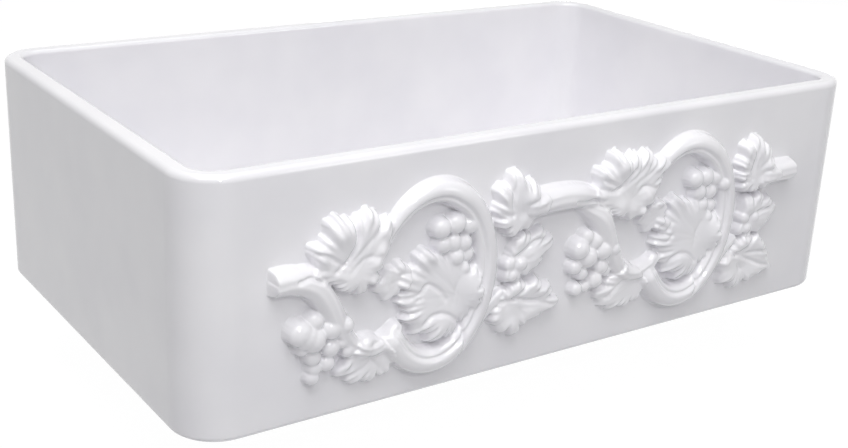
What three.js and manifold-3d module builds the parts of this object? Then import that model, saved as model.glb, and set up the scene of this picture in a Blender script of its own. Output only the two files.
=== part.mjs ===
// A farmhouse apron front sink of glazed fireclay, with a moulded grapevine along its apron and a
// basket strainer in its outlet. Millimetres, +Z up. X runs along the apron, the apron faces -Y, and
// the origin is the middle of the sink's underside.

import * as THREE from 'three';
import { mergeVertices } from 'three/addons/utils/BufferGeometryUtils.js';
import Module from 'manifold-3d';

const kernel = await Module();
kernel.setup();

// Clearance between pieces that touch

const gap = 0.3;
const overcut = 1; // a cutter runs this far past the face that it opens

// Basin

const basinWidth = 838;
const basinDepth = 508;
const basinHeight = 254;
const cornerRadius = 47; // upright outer corners
const wallThickness = 20; // at the rim
const wallDraft = 4; // the walls are this much thicker at the floor
const rimRound = 7; // outer edge of the rim
const lipRound = 5; // inner edge of the rim
const footRound = 6; // outer edge of the underside
const floorThickness = 24; // where the floor meets the outlet's seat
const floorFall = 6; // the floor is this much higher at the walls
const bowlRound = 26; // between the walls and the floor
const outletSetback = 75; // the outlet's axis behind the middle of the basin
const seatMargin = 4; // level floor round the outlet's seat
const recessDiameter = 130; // under the outlet, for the gasket and the locknut
const recessDepth = 3;

// Outlet and strainer body

const outletBore = 90;
const seatDiameter = 116;
const seatDepth = 4;
const flangeClearance = 1.2; // round the flange, inside its seat
const flangeThickness = 3;
const flangeDish = 6; // the flange falls this far into the cup
const flangeLand = 7; // flat width of the flange
const cupDiameter = 86; // outside, where it is threaded
const cupWall = 1.8;
const cupDepth = 52; // inside
const cupFloorThickness = 2.6;
const cupChamfer = 7;
const spigotDiameter = 48;
const spigotBore = 38;
const spigotLength = 22;
const barWidth = 5; // cross bar in the spigot
const barHeight = 4;
const barDrop = 9; // from the cup's floor down to the top of the cross bar
const bossWall = 3; // round the hole that takes the clip

// Nut and rings under the floor

const ringWidth = 11; // gasket and friction ring, outside less inside radius
const gasketThickness = 5;
const frictionRingThickness = 1.2;
const locknutWidth = 8;
const locknutHeight = 12;
const locknutLugs = 4;
const lugReach = 5;
const lugWidth = 12;

// Tailpiece and its coupling

const tailpieceDiameter = 38.1;
const tailpieceWall = 1.2;
const tailpieceLength = 54;
const tailpieceFlange = 2; // thickness
const tailWasherThickness = 2;
const couplingWall = 5;
const couplingGrip = 14; // length of the nut on the spigot
const couplingLip = 3;

// Basket

const basketClearance = 1; // round the basket, inside the cup
const basketHeight = 40;
const basketWall = 1;
const basketTaper = 12; // the base is this much smaller in radius than the rim
const basketRimWidth = 2.4;
const stopperDiameter = 54;
const stopperThickness = 4;
const postDiameter = 6;
const postHead = 1.6; // height of the post's shoulder under the knob
const knobDiameter = 18;
const knobHeight = 12;
const knobNeck = 10; // diameter at the knob's foot
const knobGrip = 5; // height of the knob's full width
const knobFlare = 2.5; // height over which the neck widens to the grip
const knobRound = 2; // upper edge
const knobDrop = 4; // the knob's top below the flange
const stemNutWidth = 11;
const stemNutHeight = 4;
const clipDiameter = 10;
const clipHeight = 9;
const clipWall = 0.8;
const clipClearance = 0.6; // round the clip, inside the boss
const clipStop = 1.5; // post left below the clip

// Grapevine. Places are [across, up] on the apron, from the middle of its foot.

const leafEdge = 5; // height of a leaf's edge above the apron
const leafDip = 0.62; // height where the veins meet, as a share of the crown
const leafShoulder = 0.7; // where the crown lies on the way to the edge
const leafFold = 0.25; // the crown is this share lower between two lobes
const lobeBreadth = 0.12; // a lobe keeps its reach over this share of the way to the next
const notchDepth = 0.12; // of the outline between two close lobes
const notchSpread = 0.42; // more depth where the lobes lie further apart
const stemRise = 0.72; // a stem's height as a share of its width
const stemFullness = 0.7; // below 1, a stem is fuller than a half round
const berryRise = 0.8; // height of a berry's middle, as a share of its radius
const berryFoot = 0.85; // a berry's radius on the apron, as a share of its own
const berryLevels = [40, 68]; // degrees above a berry's middle
const cutReach = 3; // a cutter reaches this many gaps behind a sprig
const leafRoom = 2; // a leaf's cutter is this many gaps larger, as its edge runs slantwise

const scrollWidth = 27;
const scrollTip = 13; // width where the scroll starts
const scrollTaper = 0.3; // share of the scroll over which it widens
const scrollRadius = [72, 99]; // outside, across and up
const scrollPitch = 327; // from the left scroll to the right one
const scrollLift = 2; // the right scroll lies this much higher
const scrollCentre = [-169, 123];
const scrollLean = 3; // degrees, the top of a scroll towards the right
const scrollStart = 158; // degrees, behind the upper leaf
const scrollEnd = -140; // degrees, behind the foot leaf

const leftVine = {
  twig: [[-136, 44, 14], [-118, 60, 15], [-101, 78, 14], [-84, 90, 11]],
  leaves: {
    top: {
      at: [-259, 150],
      crown: 17,
      lobes: [[4, 31], [28, 44], [46, 58], [71, 57], [116, 58], [153, 54], [170, 44], [-125, 25],
        [-77, 28],
        [-32, 31]],
    },
    inner: {
      at: [-143, 100],
      crown: 13,
      lobes: [[4, 30], [48, 36], [99, 52], [131, 70], [157, 76], [172, 70], [-165, 64], [-152, 60],
        [-124, 54],
        [-103, 45], [-72, 30], [-27, 31]],
    },
    fold: {
      at: [-206, 130],
      crown: 9,
      lobes: [[-143, 29], [-167, 34], [153, 22], [100, 18], [55, 13], [-50, 9]],
    },
    foot: {
      at: [-229, 60],
      crown: 12,
      lobes: [[143, 30], [178, 39], [-165, 52], [-143, 44], [-116, 34], [-77, 28], [40, 9]],
    },
    outer_top: {
      at: [-73, 169],
      crown: 18,
      lobes: [[8, 31], [26, 37], [60, 40], [99, 50], [128, 44], [156, 32], [-171, 27], [-129, 23],
        [-38, 19]],
    },
    outer_middle: {
      at: [-73, 120],
      crown: 13,
      lobes: [[20, 54], [42, 48], [68, 34], [-8, 36], [-35, 25], [-84, 21], [-126, 23], [170, 8]],
    },
    outer_foot: {
      at: [-73, 72],
      crown: 13,
      lobes: [[-7, 66], [14, 55], [38, 43], [70, 30], [-21, 45], [-44, 31], [-80, 34], [-124, 30],
        [-153, 29]],
    },
  },
  grapes: {
    low: [[-316, 98, 13], [-302, 89, 13], [-300, 106, 10], [-283, 96, 11], [-269, 97, 9],
      [-283, 76, 10],
      [-272, 80, 7], [-265, 70, 8], [-301, 70, 9], [-312, 81, 8], [-286, 61, 9], [-299, 58, 8],
      [-301, 49, 8]],
    inner: [[-165, 174, 13], [-147, 175, 12], [-131, 172, 10], [-161, 156, 10], [-150, 156, 10],
      [-138, 154, 10],
      [-147, 141, 9], [-134, 141, 9], [-138, 128, 7]],
    outer: [[-80, 120, 8], [-67, 119, 8], [-77, 108, 7]],
  },
};

const rightVine = {
  twig: [[192, 42, 14], [209, 58, 15], [225, 76, 14], [243, 88, 11]],
  leaves: {
    top: {
      at: [66, 164],
      crown: 17,
      lobes: [[-4, 45], [16, 54], [34, 68], [60, 59], [77, 52], [108, 58], [139, 56], [155, 46],
        [-122, 20],
        [-62, 27], [-33, 37]],
    },
    inner: {
      at: [182, 101],
      crown: 13,
      lobes: [[4, 30], [48, 36], [99, 52], [131, 72], [157, 76], [172, 70], [-165, 64], [-152, 60],
        [-124, 54],
        [-103, 45], [-72, 30], [-27, 31]],
    },
    fold: {
      at: [121, 141],
      crown: 9,
      lobes: [[-143, 29], [-167, 32], [153, 20], [100, 16], [55, 13], [-50, 9]],
    },
    foot: {
      at: [94, 67],
      crown: 12,
      lobes: [[137, 33], [165, 44], [-173, 58], [-158, 53], [-148, 46], [-122, 32], [-88, 24], [40, 9]],
    },
    outer_top: {
      at: [258, 165],
      crown: 18,
      lobes: [[24, 33], [57, 38], [90, 45], [115, 42], [146, 31], [180, 25], [-137, 27], [-90, 23],
        [-38, 30],
        [-10, 38]],
    },
    outer_middle: {
      at: [258, 111],
      crown: 13,
      lobes: [[9, 50], [30, 42], [56, 36], [98, 30], [-10, 39], [-32, 31], [-90, 22], [-133, 23],
        [170, 8]],
    },
    outer_foot: {
      at: [258, 65],
      crown: 13,
      lobes: [[-23, 60], [-8, 47], [22, 38], [45, 36], [90, 28], [-36, 47], [-61, 37], [-105, 39],
        [-143, 42],
        [-166, 36]],
    },
  },
  grapes: {
    low: [[10, 121, 14], [22, 109, 14], [20, 131, 9], [31, 125, 10], [42, 114, 12], [54, 114, 8],
      [7, 100, 9],
      [18, 91, 8], [42, 95, 10], [35, 81, 10], [51, 87, 7], [12, 74, 8], [24, 75, 7]],
    inner: [[168, 173, 14], [182, 172, 13], [195, 170, 11], [207, 163, 9], [175, 156, 10],
      [191, 155, 10],
      [181, 141, 8], [194, 138, 9], [189, 126, 7]],
    outer: [[252, 114, 8], [266, 113, 7], [256, 101, 7]],
  },
};

const branches = {
  branch_left: [
    [[-343, 150, 25], [-322, 149, 26], [-302, 140, 26], [-286, 120, 25], [-274, 96, 23], [-260, 74, 19],
      [-240, 65, 18], [-222, 70, 18], [-206, 81, 20]],
    [[-322, 153, 17], [-296, 152, 16], [-262, 153, 15]],
  ],
  branch_middle: [
    [[-58, 178, 26], [-25, 180, 27], [3, 178, 26], [30, 172, 20], [62, 168, 13]],
  ],
  branch_fork: [
    [[14, 166, 17], [34, 152, 26], [47, 128, 25], [58, 104, 23], [74, 83, 19], [94, 78, 18],
    [112, 83, 18],
      [124, 92, 20]],
  ],
  stub_right: [
    [[276, 161, 25], [300, 161, 25], [322, 161, 24]],
  ],
};

// Materials

function finish(color, roughness, metalness) {
  return new THREE.MeshStandardMaterial({ color, roughness, metalness });
}

const glaze = () => finish(0xeeedf0, 0.08, 0);
const stainless = () => finish(0xc4c6c8, 0.25, 1);
const brass = () => finish(0xb9a36a, 0.35, 1);
const zinc = () => finish(0xa7a9ab, 0.45, 1);
const rubber = () => finish(0x1d1d1e, 0.8, 0);
const fibre = () => finish(0x9a7b55, 0.9, 0);
const nylon = () => finish(0xe9e6dc, 0.5, 0);

// Geometry

const degrees = Math.PI / 180;
const roundSteps = 4; // faces across a small round
const cornerSteps = 5; // faces across an upright corner
const turnSteps = 24; // faces round a turned piece
const smallTurnSteps = 16; // faces round the pieces on the basket's post
const acrossFlats = Math.cos(30 * degrees); // of a hexagon, as a share of its width across corners
const scrollSteps = 28; // lengths round a scroll
const stemFaces = 5; // faces across a stem
const berryFaces = 7; // faces round a berry

// Welds the vertices, drops empty triangles and turns the faces outwards.
function weld(geometry) {
  const bare = new THREE.BufferGeometry();
  bare.setAttribute('position', geometry.getAttribute('position').clone());
  if (geometry.index) {
    bare.setIndex(geometry.index.clone());
  }
  const merged = mergeVertices(bare, 1e-4);
  const position = merged.getAttribute('position');
  const source = merged.index.array;
  const index = [];
  let volume = 0;
  const a = new THREE.Vector3();
  const b = new THREE.Vector3();
  const c = new THREE.Vector3();
  for (let i = 0; i < source.length; i += 3) {
    const [p, q, r] = [source[i], source[i + 1], source[i + 2]];
    if (p !== q && q !== r && r !== p) {
      index.push(p, q, r);
      a.fromBufferAttribute(position, p);
      b.fromBufferAttribute(position, q);
      c.fromBufferAttribute(position, r);
      volume += a.dot(b.cross(c));
    }
  }
  if (volume < 0) {
    index.reverse();
  }
  merged.setIndex(index);
  return merged;
}

function toSolid(geometry) {
  const welded = weld(geometry);
  return new kernel.Manifold(new kernel.Mesh({
    numProp: 3,
    vertProperties: Float32Array.from(welded.getAttribute('position').array),
    triVerts: Uint32Array.from(welded.index.array),
  }));
}

function toGeometry(solid) {
  const { vertProperties, triVerts, numProp } = solid.getMesh();
  const position = new Float32Array((vertProperties.length / numProp) * 3);
  for (let i = 0; i < position.length / 3; i++) {
    position.set(vertProperties.subarray(i * numProp, i * numProp + 3), i * 3);
  }
  const geometry = new THREE.BufferGeometry();
  geometry.setAttribute('position', new THREE.BufferAttribute(position, 3));
  geometry.setIndex(new THREE.BufferAttribute(Uint32Array.from(triVerts), 1));
  geometry.computeVertexNormals();
  return geometry;
}

// The largest of the separate bodies in a mesh, without the slivers that a cut leaves beside it.
function mainBody(geometry) {
  const position = geometry.getAttribute('position');
  const source = geometry.index.array;
  const owner = Array.from({ length: position.count }, (_, i) => i);
  const find = (i) => {
    while (owner[i] !== i) {
      owner[i] = owner[owner[i]];
      i = owner[i];
    }
    return i;
  };
  for (let i = 0; i < source.length; i += 3) {
    owner[find(source[i + 1])] = find(source[i]);
    owner[find(source[i + 2])] = find(source[i]);
  }
  const bodies = new Map();
  const [a, b, c] = [new THREE.Vector3(), new THREE.Vector3(), new THREE.Vector3()];
  for (let i = 0; i < source.length; i += 3) {
    const root = find(source[i]);
    const body = bodies.get(root) ?? { volume: 0, index: [] };
    a.fromBufferAttribute(position, source[i]);
    b.fromBufferAttribute(position, source[i + 1]);
    c.fromBufferAttribute(position, source[i + 2]);
    body.volume += a.dot(b.cross(c)) / 6;
    body.index.push(source[i], source[i + 1], source[i + 2]);
    bodies.set(root, body);
  }
  const largest = [...bodies.values()].sort((one, other) => other.volume - one.volume)[0];
  geometry.setIndex(largest.index);
  return geometry.toNonIndexed();
}

// A closed body over rings of points, from the first ring to the last, with a flat cap on both ends,
// or a fan to the peak in place of the last cap.
function skin(rings, peak) {
  const count = rings[0].length;
  const points = rings.flat();
  const index = [];
  for (let level = 0; level < rings.length - 1; level++) {
    for (let i = 0; i < count; i++) {
      const a = level * count + i;
      const b = level * count + ((i + 1) % count);
      index.push(a, b, b + count, a, b + count, a + count);
    }
  }
  const last = (rings.length - 1) * count;
  for (const [a, b, c] of capFaces(rings[0])) {
    index.push(a, c, b);
  }
  if (peak) {
    points.push(peak);
    for (let i = 0; i < count; i++) {
      index.push(last + i, last + ((i + 1) % count), last + count);
    }
  } else {
    for (const [a, b, c] of capFaces(rings[rings.length - 1])) {
      index.push(last + a, last + b, last + c);
    }
  }
  const geometry = new THREE.BufferGeometry();
  const position = points.flatMap((p) => p.toArray());
  geometry.setAttribute('position', new THREE.Float32BufferAttribute(position, 3));
  geometry.setIndex(index);
  return geometry;
}

// Triangles over a flat ring, found in the plane that it lies in.
function capFaces(ring) {
  const normal = new THREE.Vector3();
  ring.forEach((point, i) => normal.add(point.clone().cross(ring[(i + 1) % ring.length])));
  const up = new THREE.Vector3(0, 0, 1);
  const turn = new THREE.Quaternion().setFromUnitVectors(normal.normalize(), up);
  const flat = ring.map((point) => {
    const turned = point.clone().applyQuaternion(turn);
    return new THREE.Vector2(turned.x, turned.y);
  });
  return THREE.ShapeUtils.triangulateShape(flat, []);
}

// A rounded rectangle at one height, anticlockwise from above.
function roundedRing(halfX, halfY, radius, z, middleY = 0) {
  const ring = [];
  const corners = [[1, 1], [-1, 1], [-1, -1], [1, -1]];
  corners.forEach(([sideX, sideY], quarter) => {
    for (let i = 0; i <= cornerSteps; i++) {
      const angle = (quarter + i / cornerSteps) * 90 * degrees;
      const x = sideX * (halfX - radius) + radius * Math.cos(angle);
      const y = sideY * (halfY - radius) + radius * Math.sin(angle);
      ring.push(new THREE.Vector3(x, middleY + y, z));
    }
  });
  return ring;
}

// A turned body on the Z axis, from a closed profile of [radius, height].
function turned(profile, steps = turnSteps) {
  const points = profile.map(([r, z]) => new THREE.Vector2(r, z));
  points.push(points[0].clone());
  return new THREE.LatheGeometry(points, steps).rotateX(90 * degrees);
}

function tube(inner, outer, bottom, top, steps = turnSteps) {
  return turned([[inner, bottom], [outer, bottom], [outer, top], [inner, top]], steps);
}

// A rod on the Z axis; six steps make it a hexagon.
function rod(radius, bottom, top, steps = turnSteps) {
  const geometry = new THREE.CylinderGeometry(radius, radius, top - bottom, steps);
  return geometry.rotateX(90 * degrees).translate(0, 0, (top + bottom) / 2);
}

// Basin

const apronFace = basinDepth / 2;
const seatZ = floorThickness - seatDepth;

function basinBody() {
  const outside = [];
  const halfX = basinWidth / 2;
  const halfY = basinDepth / 2;
  const roundLevels = (round, zAt) => {
    for (let i = 0; i <= roundSteps; i++) {
      const angle = (i / roundSteps) * 90 * degrees;
      const inset = round * (1 - Math.cos(angle));
      outside.push([inset, zAt(round * Math.sin(angle))]);
    }
  };
  roundLevels(footRound, (rise) => footRound - rise);
  outside.reverse();
  roundLevels(rimRound, (rise) => basinHeight - rimRound + rise);
  const ringAt = ([inset, z]) => roundedRing(halfX - inset, halfY - inset, cornerRadius - inset, z);
  const rings = outside.map(ringAt);
  return toSolid(skin(rings));
}

function bowlSpace() {
  const halfX = basinWidth / 2 - wallThickness;
  const halfY = basinDepth / 2 - wallThickness;
  const radius = cornerRadius - wallThickness;
  const wallFoot = floorThickness + floorFall + bowlRound;
  const ringAt = (inset, z) => roundedRing(halfX - inset, halfY - inset, radius, z);
  const rings = [];
  rings.push(ringAt(-lipRound - overcut, basinHeight + overcut));
  rings.push(ringAt(-lipRound, basinHeight));
  for (let i = 1; i <= roundSteps; i++) {
    const angle = (i / roundSteps) * 90 * degrees;
    const inset = -lipRound * (1 - Math.sin(angle));
    rings.push(ringAt(inset, basinHeight - lipRound * (1 - Math.cos(angle))));
  }
  for (let i = 0; i <= roundSteps; i++) {
    const angle = (i / roundSteps) * 90 * degrees;
    const inset = wallDraft + bowlRound * (1 - Math.cos(angle));
    rings.push(ringAt(inset, wallFoot - bowlRound * Math.sin(angle)));
  }
  const outletHalf = seatDiameter / 2 + seatMargin;
  rings.push(roundedRing(outletHalf, outletHalf, outletHalf - 1, floorThickness, outletSetback));
  return toSolid(skin(rings.reverse()));
}

function outletSpace() {
  const top = floorThickness + floorFall;
  const seat = toSolid(rod(seatDiameter / 2, seatZ, top).translate(0, outletSetback, 0));
  const bore = toSolid(rod(outletBore / 2, -overcut, top).translate(0, outletSetback, 0));
  const recess = toSolid(rod(recessDiameter / 2, -overcut, recessDepth).translate(0, outletSetback, 0));
  return seat.add(bore).add(recess);
}

function basin() {
  return toGeometry(basinBody().subtract(bowlSpace()).subtract(outletSpace()));
}

// Strainer, all turned on the outlet's axis

const flangeRadius = seatDiameter / 2 - flangeClearance;
const flangeFoot = seatZ + gap;
const flangeTop = flangeFoot + flangeThickness;
const cupRadius = cupDiameter / 2;
const cupInside = cupRadius - cupWall;
const cupFloor = flangeTop - cupDepth;
const cupFoot = cupFloor - cupFloorThickness;
const spigotEnd = cupFoot - spigotLength;
const barTop = cupFloor - barDrop;
const clipBore = clipDiameter / 2 + clipClearance;

function strainerBody() {
  return turned([
    [flangeRadius, flangeFoot],
    [flangeRadius, flangeFoot + flangeThickness / 2],
    [flangeRadius - flangeThickness, flangeTop],
    [flangeRadius - flangeThickness - flangeLand, flangeTop],
    [cupInside, flangeTop - flangeDish],
    [cupInside, cupFloor + cupChamfer],
    [cupInside - cupChamfer, cupFloor],
    [spigotBore / 2, cupFloor],
    [spigotBore / 2, spigotEnd],
    [spigotDiameter / 2, spigotEnd],
    [spigotDiameter / 2, cupFoot],
    [cupRadius - cupChamfer, cupFoot],
    [cupRadius, cupFoot + cupChamfer],
    [cupRadius, flangeFoot],
  ]);
}

function crossBar() {
  const foot = barTop - barHeight;
  const barLength = 2 * Math.sqrt((spigotBore / 2 - gap) ** 2 - (barWidth / 2) ** 2);
  const bar = new THREE.BoxGeometry(barLength, barWidth, barHeight);
  const boss = rod(clipBore + bossWall, foot, barTop, smallTurnSteps);
  const bore = rod(clipBore, foot - overcut, barTop + overcut, smallTurnSteps);
  const bridge = toSolid(bar.translate(0, 0, foot + barHeight / 2)).add(toSolid(boss));
  return toGeometry(bridge.subtract(toSolid(bore)));
}

const gasketTop = recessDepth - gap;
const frictionRingTop = gasketTop - gasketThickness - gap;
const locknutTop = frictionRingTop - frictionRingThickness - gap;
const cupFit = cupRadius + gap;

function sealingGasket() {
  return tube(cupFit, cupFit + ringWidth, gasketTop - gasketThickness, gasketTop);
}

function frictionRing() {
  return tube(cupFit, cupFit + ringWidth, frictionRingTop - frictionRingThickness, frictionRingTop);
}

function locknut() {
  const foot = locknutTop - locknutHeight;
  let nut = toSolid(tube(cupFit, cupFit + locknutWidth, foot, locknutTop));
  for (let i = 0; i < locknutLugs; i++) {
    const lug = new THREE.BoxGeometry(locknutWidth / 2 + lugReach, lugWidth, locknutHeight);
    lug.translate(cupFit + locknutWidth + lugReach / 2 - locknutWidth / 4, 0, foot + locknutHeight / 2);
    nut = nut.add(toSolid(lug.rotateZ((i * 360 * degrees) / locknutLugs)));
  }
  return toGeometry(nut);
}

const tailWasherTop = spigotEnd - gap;
const tailpieceTop = tailWasherTop - tailWasherThickness - gap;
const tailpieceRadius = tailpieceDiameter / 2;

function tailpieceWasher() {
  return tube(spigotBore / 2, spigotDiameter / 2, tailWasherTop - tailWasherThickness, tailWasherTop);
}

function tailpiece() {
  const bore = tailpieceRadius - tailpieceWall;
  return turned([
    [bore, tailpieceTop - tailpieceLength],
    [tailpieceRadius, tailpieceTop - tailpieceLength],
    [tailpieceRadius, tailpieceTop - tailpieceFlange],
    [spigotDiameter / 2, tailpieceTop - tailpieceFlange],
    [spigotDiameter / 2, tailpieceTop],
    [bore, tailpieceTop],
  ]);
}

function couplingNut() {
  const shelf = tailpieceTop - tailpieceFlange - gap;
  const foot = shelf - couplingLip;
  const top = spigotEnd + couplingGrip;
  const grip = spigotDiameter / 2 + gap;
  const space = turned([
    [0, foot - overcut],
    [tailpieceRadius + gap, foot - overcut],
    [tailpieceRadius + gap, shelf],
    [grip, shelf],
    [grip, top + overcut],
    [0, top + overcut],
  ]);
  const hexagon = rod((grip + couplingWall) / acrossFlats, foot, top, 6);
  return toGeometry(toSolid(hexagon).subtract(toSolid(space)));
}

const stopperFoot = cupFloor + gap;
const stopperTop = stopperFoot + stopperThickness;
const basketFoot = stopperTop + gap;
const basketRadius = cupInside - basketClearance - basketRimWidth;
const postFit = postDiameter / 2 + gap;
const knobTop = flangeTop - knobDrop;
const knobFoot = knobTop - knobHeight;
const stemNutTop = stopperFoot - gap;
const clipTop = stemNutTop - stemNutHeight - gap;

function basketCup() {
  const base = basketRadius - basketTaper;
  const top = basketFoot + basketHeight;
  return turned([
    [postFit, basketFoot],
    [base, basketFoot],
    [basketRadius, top - basketWall],
    [basketRadius + basketRimWidth, top - basketWall],
    [basketRadius + basketRimWidth, top],
    [basketRadius - basketWall, top],
    [base - basketWall, basketFoot + basketWall],
    [postFit, basketFoot + basketWall],
  ]);
}

function basketStopper() {
  const radius = stopperDiameter / 2;
  return turned([
    [postFit, stopperFoot],
    [radius - stopperThickness / 2, stopperFoot],
    [radius, stopperFoot + stopperThickness / 2],
    [radius, stopperTop],
    [postFit, stopperTop],
  ]);
}

function basketPost() {
  const radius = postDiameter / 2;
  const foot = clipTop - clipHeight - clipStop;
  const shoulder = knobFoot - gap;
  return turned([
    [0, foot],
    [radius, foot],
    [radius, shoulder - postHead],
    [radius + postHead, shoulder],
    [0, shoulder],
  ], smallTurnSteps);
}

function basketKnob() {
  const radius = knobDiameter / 2;
  return turned([
    [0, knobFoot],
    [knobNeck / 2, knobFoot],
    [knobNeck / 2, knobTop - knobGrip - knobFlare],
    [radius, knobTop - knobGrip],
    [radius, knobTop - knobRound],
    [radius - knobRound, knobTop],
    [0, knobTop],
  ]);
}

function basketNut() {
  const foot = stemNutTop - stemNutHeight;
  const hexagon = rod(stemNutWidth / 2 / acrossFlats, foot, stemNutTop, 6);
  const bore = rod(postFit, foot - overcut, stemNutTop + overcut, smallTurnSteps);
  return toGeometry(toSolid(hexagon).subtract(toSolid(bore)));
}

function springClip() {
  const middle = clipTop - clipHeight / 2;
  const foot = clipTop - clipHeight;
  return turned([
    [postFit, foot],
    [postFit + clipWall, foot],
    [clipDiameter / 2, middle - clipWall],
    [clipDiameter / 2, middle + clipWall],
    [postFit + clipWall, clipTop],
    [postFit, clipTop],
    [postFit, middle + clipWall],
    [clipDiameter / 2 - clipWall, middle],
    [postFit, middle - clipWall],
  ], smallTurnSteps);
}

// Grapevine. Each sprig is made flat on the XY plane with its front towards +Z. A sprig made with
// room is a little larger all round and reaches behind the plane, to cut its neighbours clear of it.

// The outline round a leaf's veins: a tip on each lobe, a notch between two lobes.
function leafOutline(lobes, room) {
  const sorted = lobes.map(([angle, reach]) => [(angle + 360) % 360, reach]);
  sorted.sort((a, b) => a[0] - b[0]);
  const outline = [];
  sorted.forEach(([angle, reach], i) => {
    const [nextAngle, nextReach] = sorted[(i + 1) % sorted.length];
    const spread = (nextAngle - angle + 360) % 360;
    const between = (reach + nextReach) / 2;
    const notch = Math.max(between * (1 - notchDepth - (notchSpread * spread) / 180), leafEdge);
    outline.push([angle + spread * lobeBreadth, reach, 0]);
    outline.push([angle + spread / 2, notch, 1]);
    outline.push([angle + spread * (1 - lobeBreadth), nextReach, 0]);
  });
  return outline.map(([angle, reach, valley]) => [angle * degrees, reach + leafRoom * room, valley]);
}

function leafBody({ at, crown, lobes }, room) {
  const outline = leafOutline(lobes, room);
  const ringAt = (share, height) => outline.map(([angle, reach, valley]) => {
    const r = reach * share;
    const [x, y] = [at[0] + r * Math.cos(angle), at[1] + r * Math.sin(angle)];
    return new THREE.Vector3(x, y, height(valley) + room);
  });
  const rings = [
    ringAt(1, () => -cutReach * room),
    ringAt(1, () => leafEdge),
    ringAt(leafShoulder, (valley) => crown * (1 - leafFold * valley)),
  ];
  return toSolid(skin(rings, new THREE.Vector3(at[0], at[1], crown * leafDip + room)));
}

// A stem along [across, up, width] places, half round and flat behind.
function stemBody(places, room) {
  const points = places.map((place) => new THREE.Vector3(...place));
  const curve = new THREE.CatmullRomCurve3(points, false, 'centripetal');
  return sweptBody(curve.getPoints(2 * places.length).map(({ x, y, z }) => [x, y, z]), room);
}

function sweptBody(points, room) {
  const rings = points.map(([x, y, width], i) => {
    const before = points[Math.max(i - 1, 0)];
    const after = points[Math.min(i + 1, points.length - 1)];
    const along = Math.atan2(after[1] - before[1], after[0] - before[0]);
    const half = width / 2 + room;
    const ring = [];
    for (let face = 0; face <= stemFaces; face++) {
      const angle = (face / stemFaces) * 180 * degrees;
      const side = half * Math.cos(angle);
      const height = width * stemRise * Math.sin(angle) ** stemFullness + room;
      ring.push(new THREE.Vector3(x + side * Math.sin(along), y - side * Math.cos(along), height));
    }
    const [footX, footY] = [half * Math.sin(along), half * Math.cos(along)];
    ring.push(new THREE.Vector3(x - footX, y + footY, -cutReach * room));
    ring.unshift(new THREE.Vector3(x + footX, y - footY, -cutReach * room));
    return ring;
  });
  return toSolid(skin(rings));
}

function scrollBody(centre, room) {
  const points = [];
  const lean = scrollLean * degrees;
  for (let i = 0; i <= scrollSteps; i++) {
    const share = i / scrollSteps;
    const angle = (scrollStart + (scrollEnd - scrollStart) * share) * degrees;
    const width = THREE.MathUtils.lerp(scrollTip, scrollWidth, Math.min(share / scrollTaper, 1));
    const across = (scrollRadius[0] - width / 2) * Math.cos(angle);
    const up = (scrollRadius[1] - width / 2) * Math.sin(angle);
    const x = centre[0] + across * Math.cos(lean) + up * Math.sin(lean);
    const y = centre[1] - across * Math.sin(lean) + up * Math.cos(lean);
    points.push([x, y, width]);
  }
  return sweptBody(points, room);
}

function berryBody([x, y, radius], room) {
  const grown = radius + room;
  const middle = radius * berryRise;
  const profile = [[0, -cutReach * room], [grown * berryFoot, -cutReach * room], [grown, middle]];
  for (const level of berryLevels) {
    profile.push([grown * Math.cos(level * degrees), middle + grown * Math.sin(level * degrees)]);
  }
  profile.push([0, middle + grown]);
  return toSolid(turned(profile, berryFaces).translate(x, y, 0));
}

function joined(bodies) {
  return bodies.reduce((all, body) => all.add(body));
}

const sprigs = new THREE.Group();
sprigs.position.y = -apronFace - gap;
sprigs.rotation.x = 90 * degrees;
const laid = [];

// Lays a sprig on the apron, cut where those laid before it lie over it.
function lay(name, bodyWith) {
  let body = bodyWith(0);
  for (const other of laid) {
    body = body.subtract(other);
  }
  laid.push(bodyWith(gap));
  const mesh = new THREE.Mesh(weld(mainBody(toGeometry(body))), glaze());
  mesh.name = name;
  sprigs.add(mesh);
}

const vines = { left: leftVine, right: rightVine };
for (const [side, vine] of Object.entries(vines)) {
  for (const [place, berries] of Object.entries(vine.grapes)) {
    lay(`grapes_${side}_${place}`, (room) => joined(berries.map((berry) => berryBody(berry, room))));
  }
}
for (const [side, vine] of Object.entries(vines)) {
  for (const [place, leaf] of Object.entries(vine.leaves)) {
    lay(`leaf_${side}_${place}`, (room) => leafBody(leaf, room));
  }
}
for (const [name, arms] of Object.entries(branches)) {
  lay(name, (room) => joined(arms.map((arm) => stemBody(arm, room))));
}
for (const [side, vine] of Object.entries(vines)) {
  lay(`twig_${side}`, (room) => stemBody(vine.twig, room));
}
lay('scroll_left', (room) => scrollBody(scrollCentre, room));
const rightCentre = [scrollCentre[0] + scrollPitch, scrollCentre[1] + scrollLift];
lay('scroll_right', (room) => scrollBody(rightCentre, room));

// Assembly

const sink = new THREE.Group();

function addPiece(parent, name, geometry, material) {
  const mesh = new THREE.Mesh(weld(geometry), material);
  mesh.name = name;
  parent.add(mesh);
}

addPiece(sink, 'basin', basin(), glaze());
sink.add(sprigs);

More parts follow.
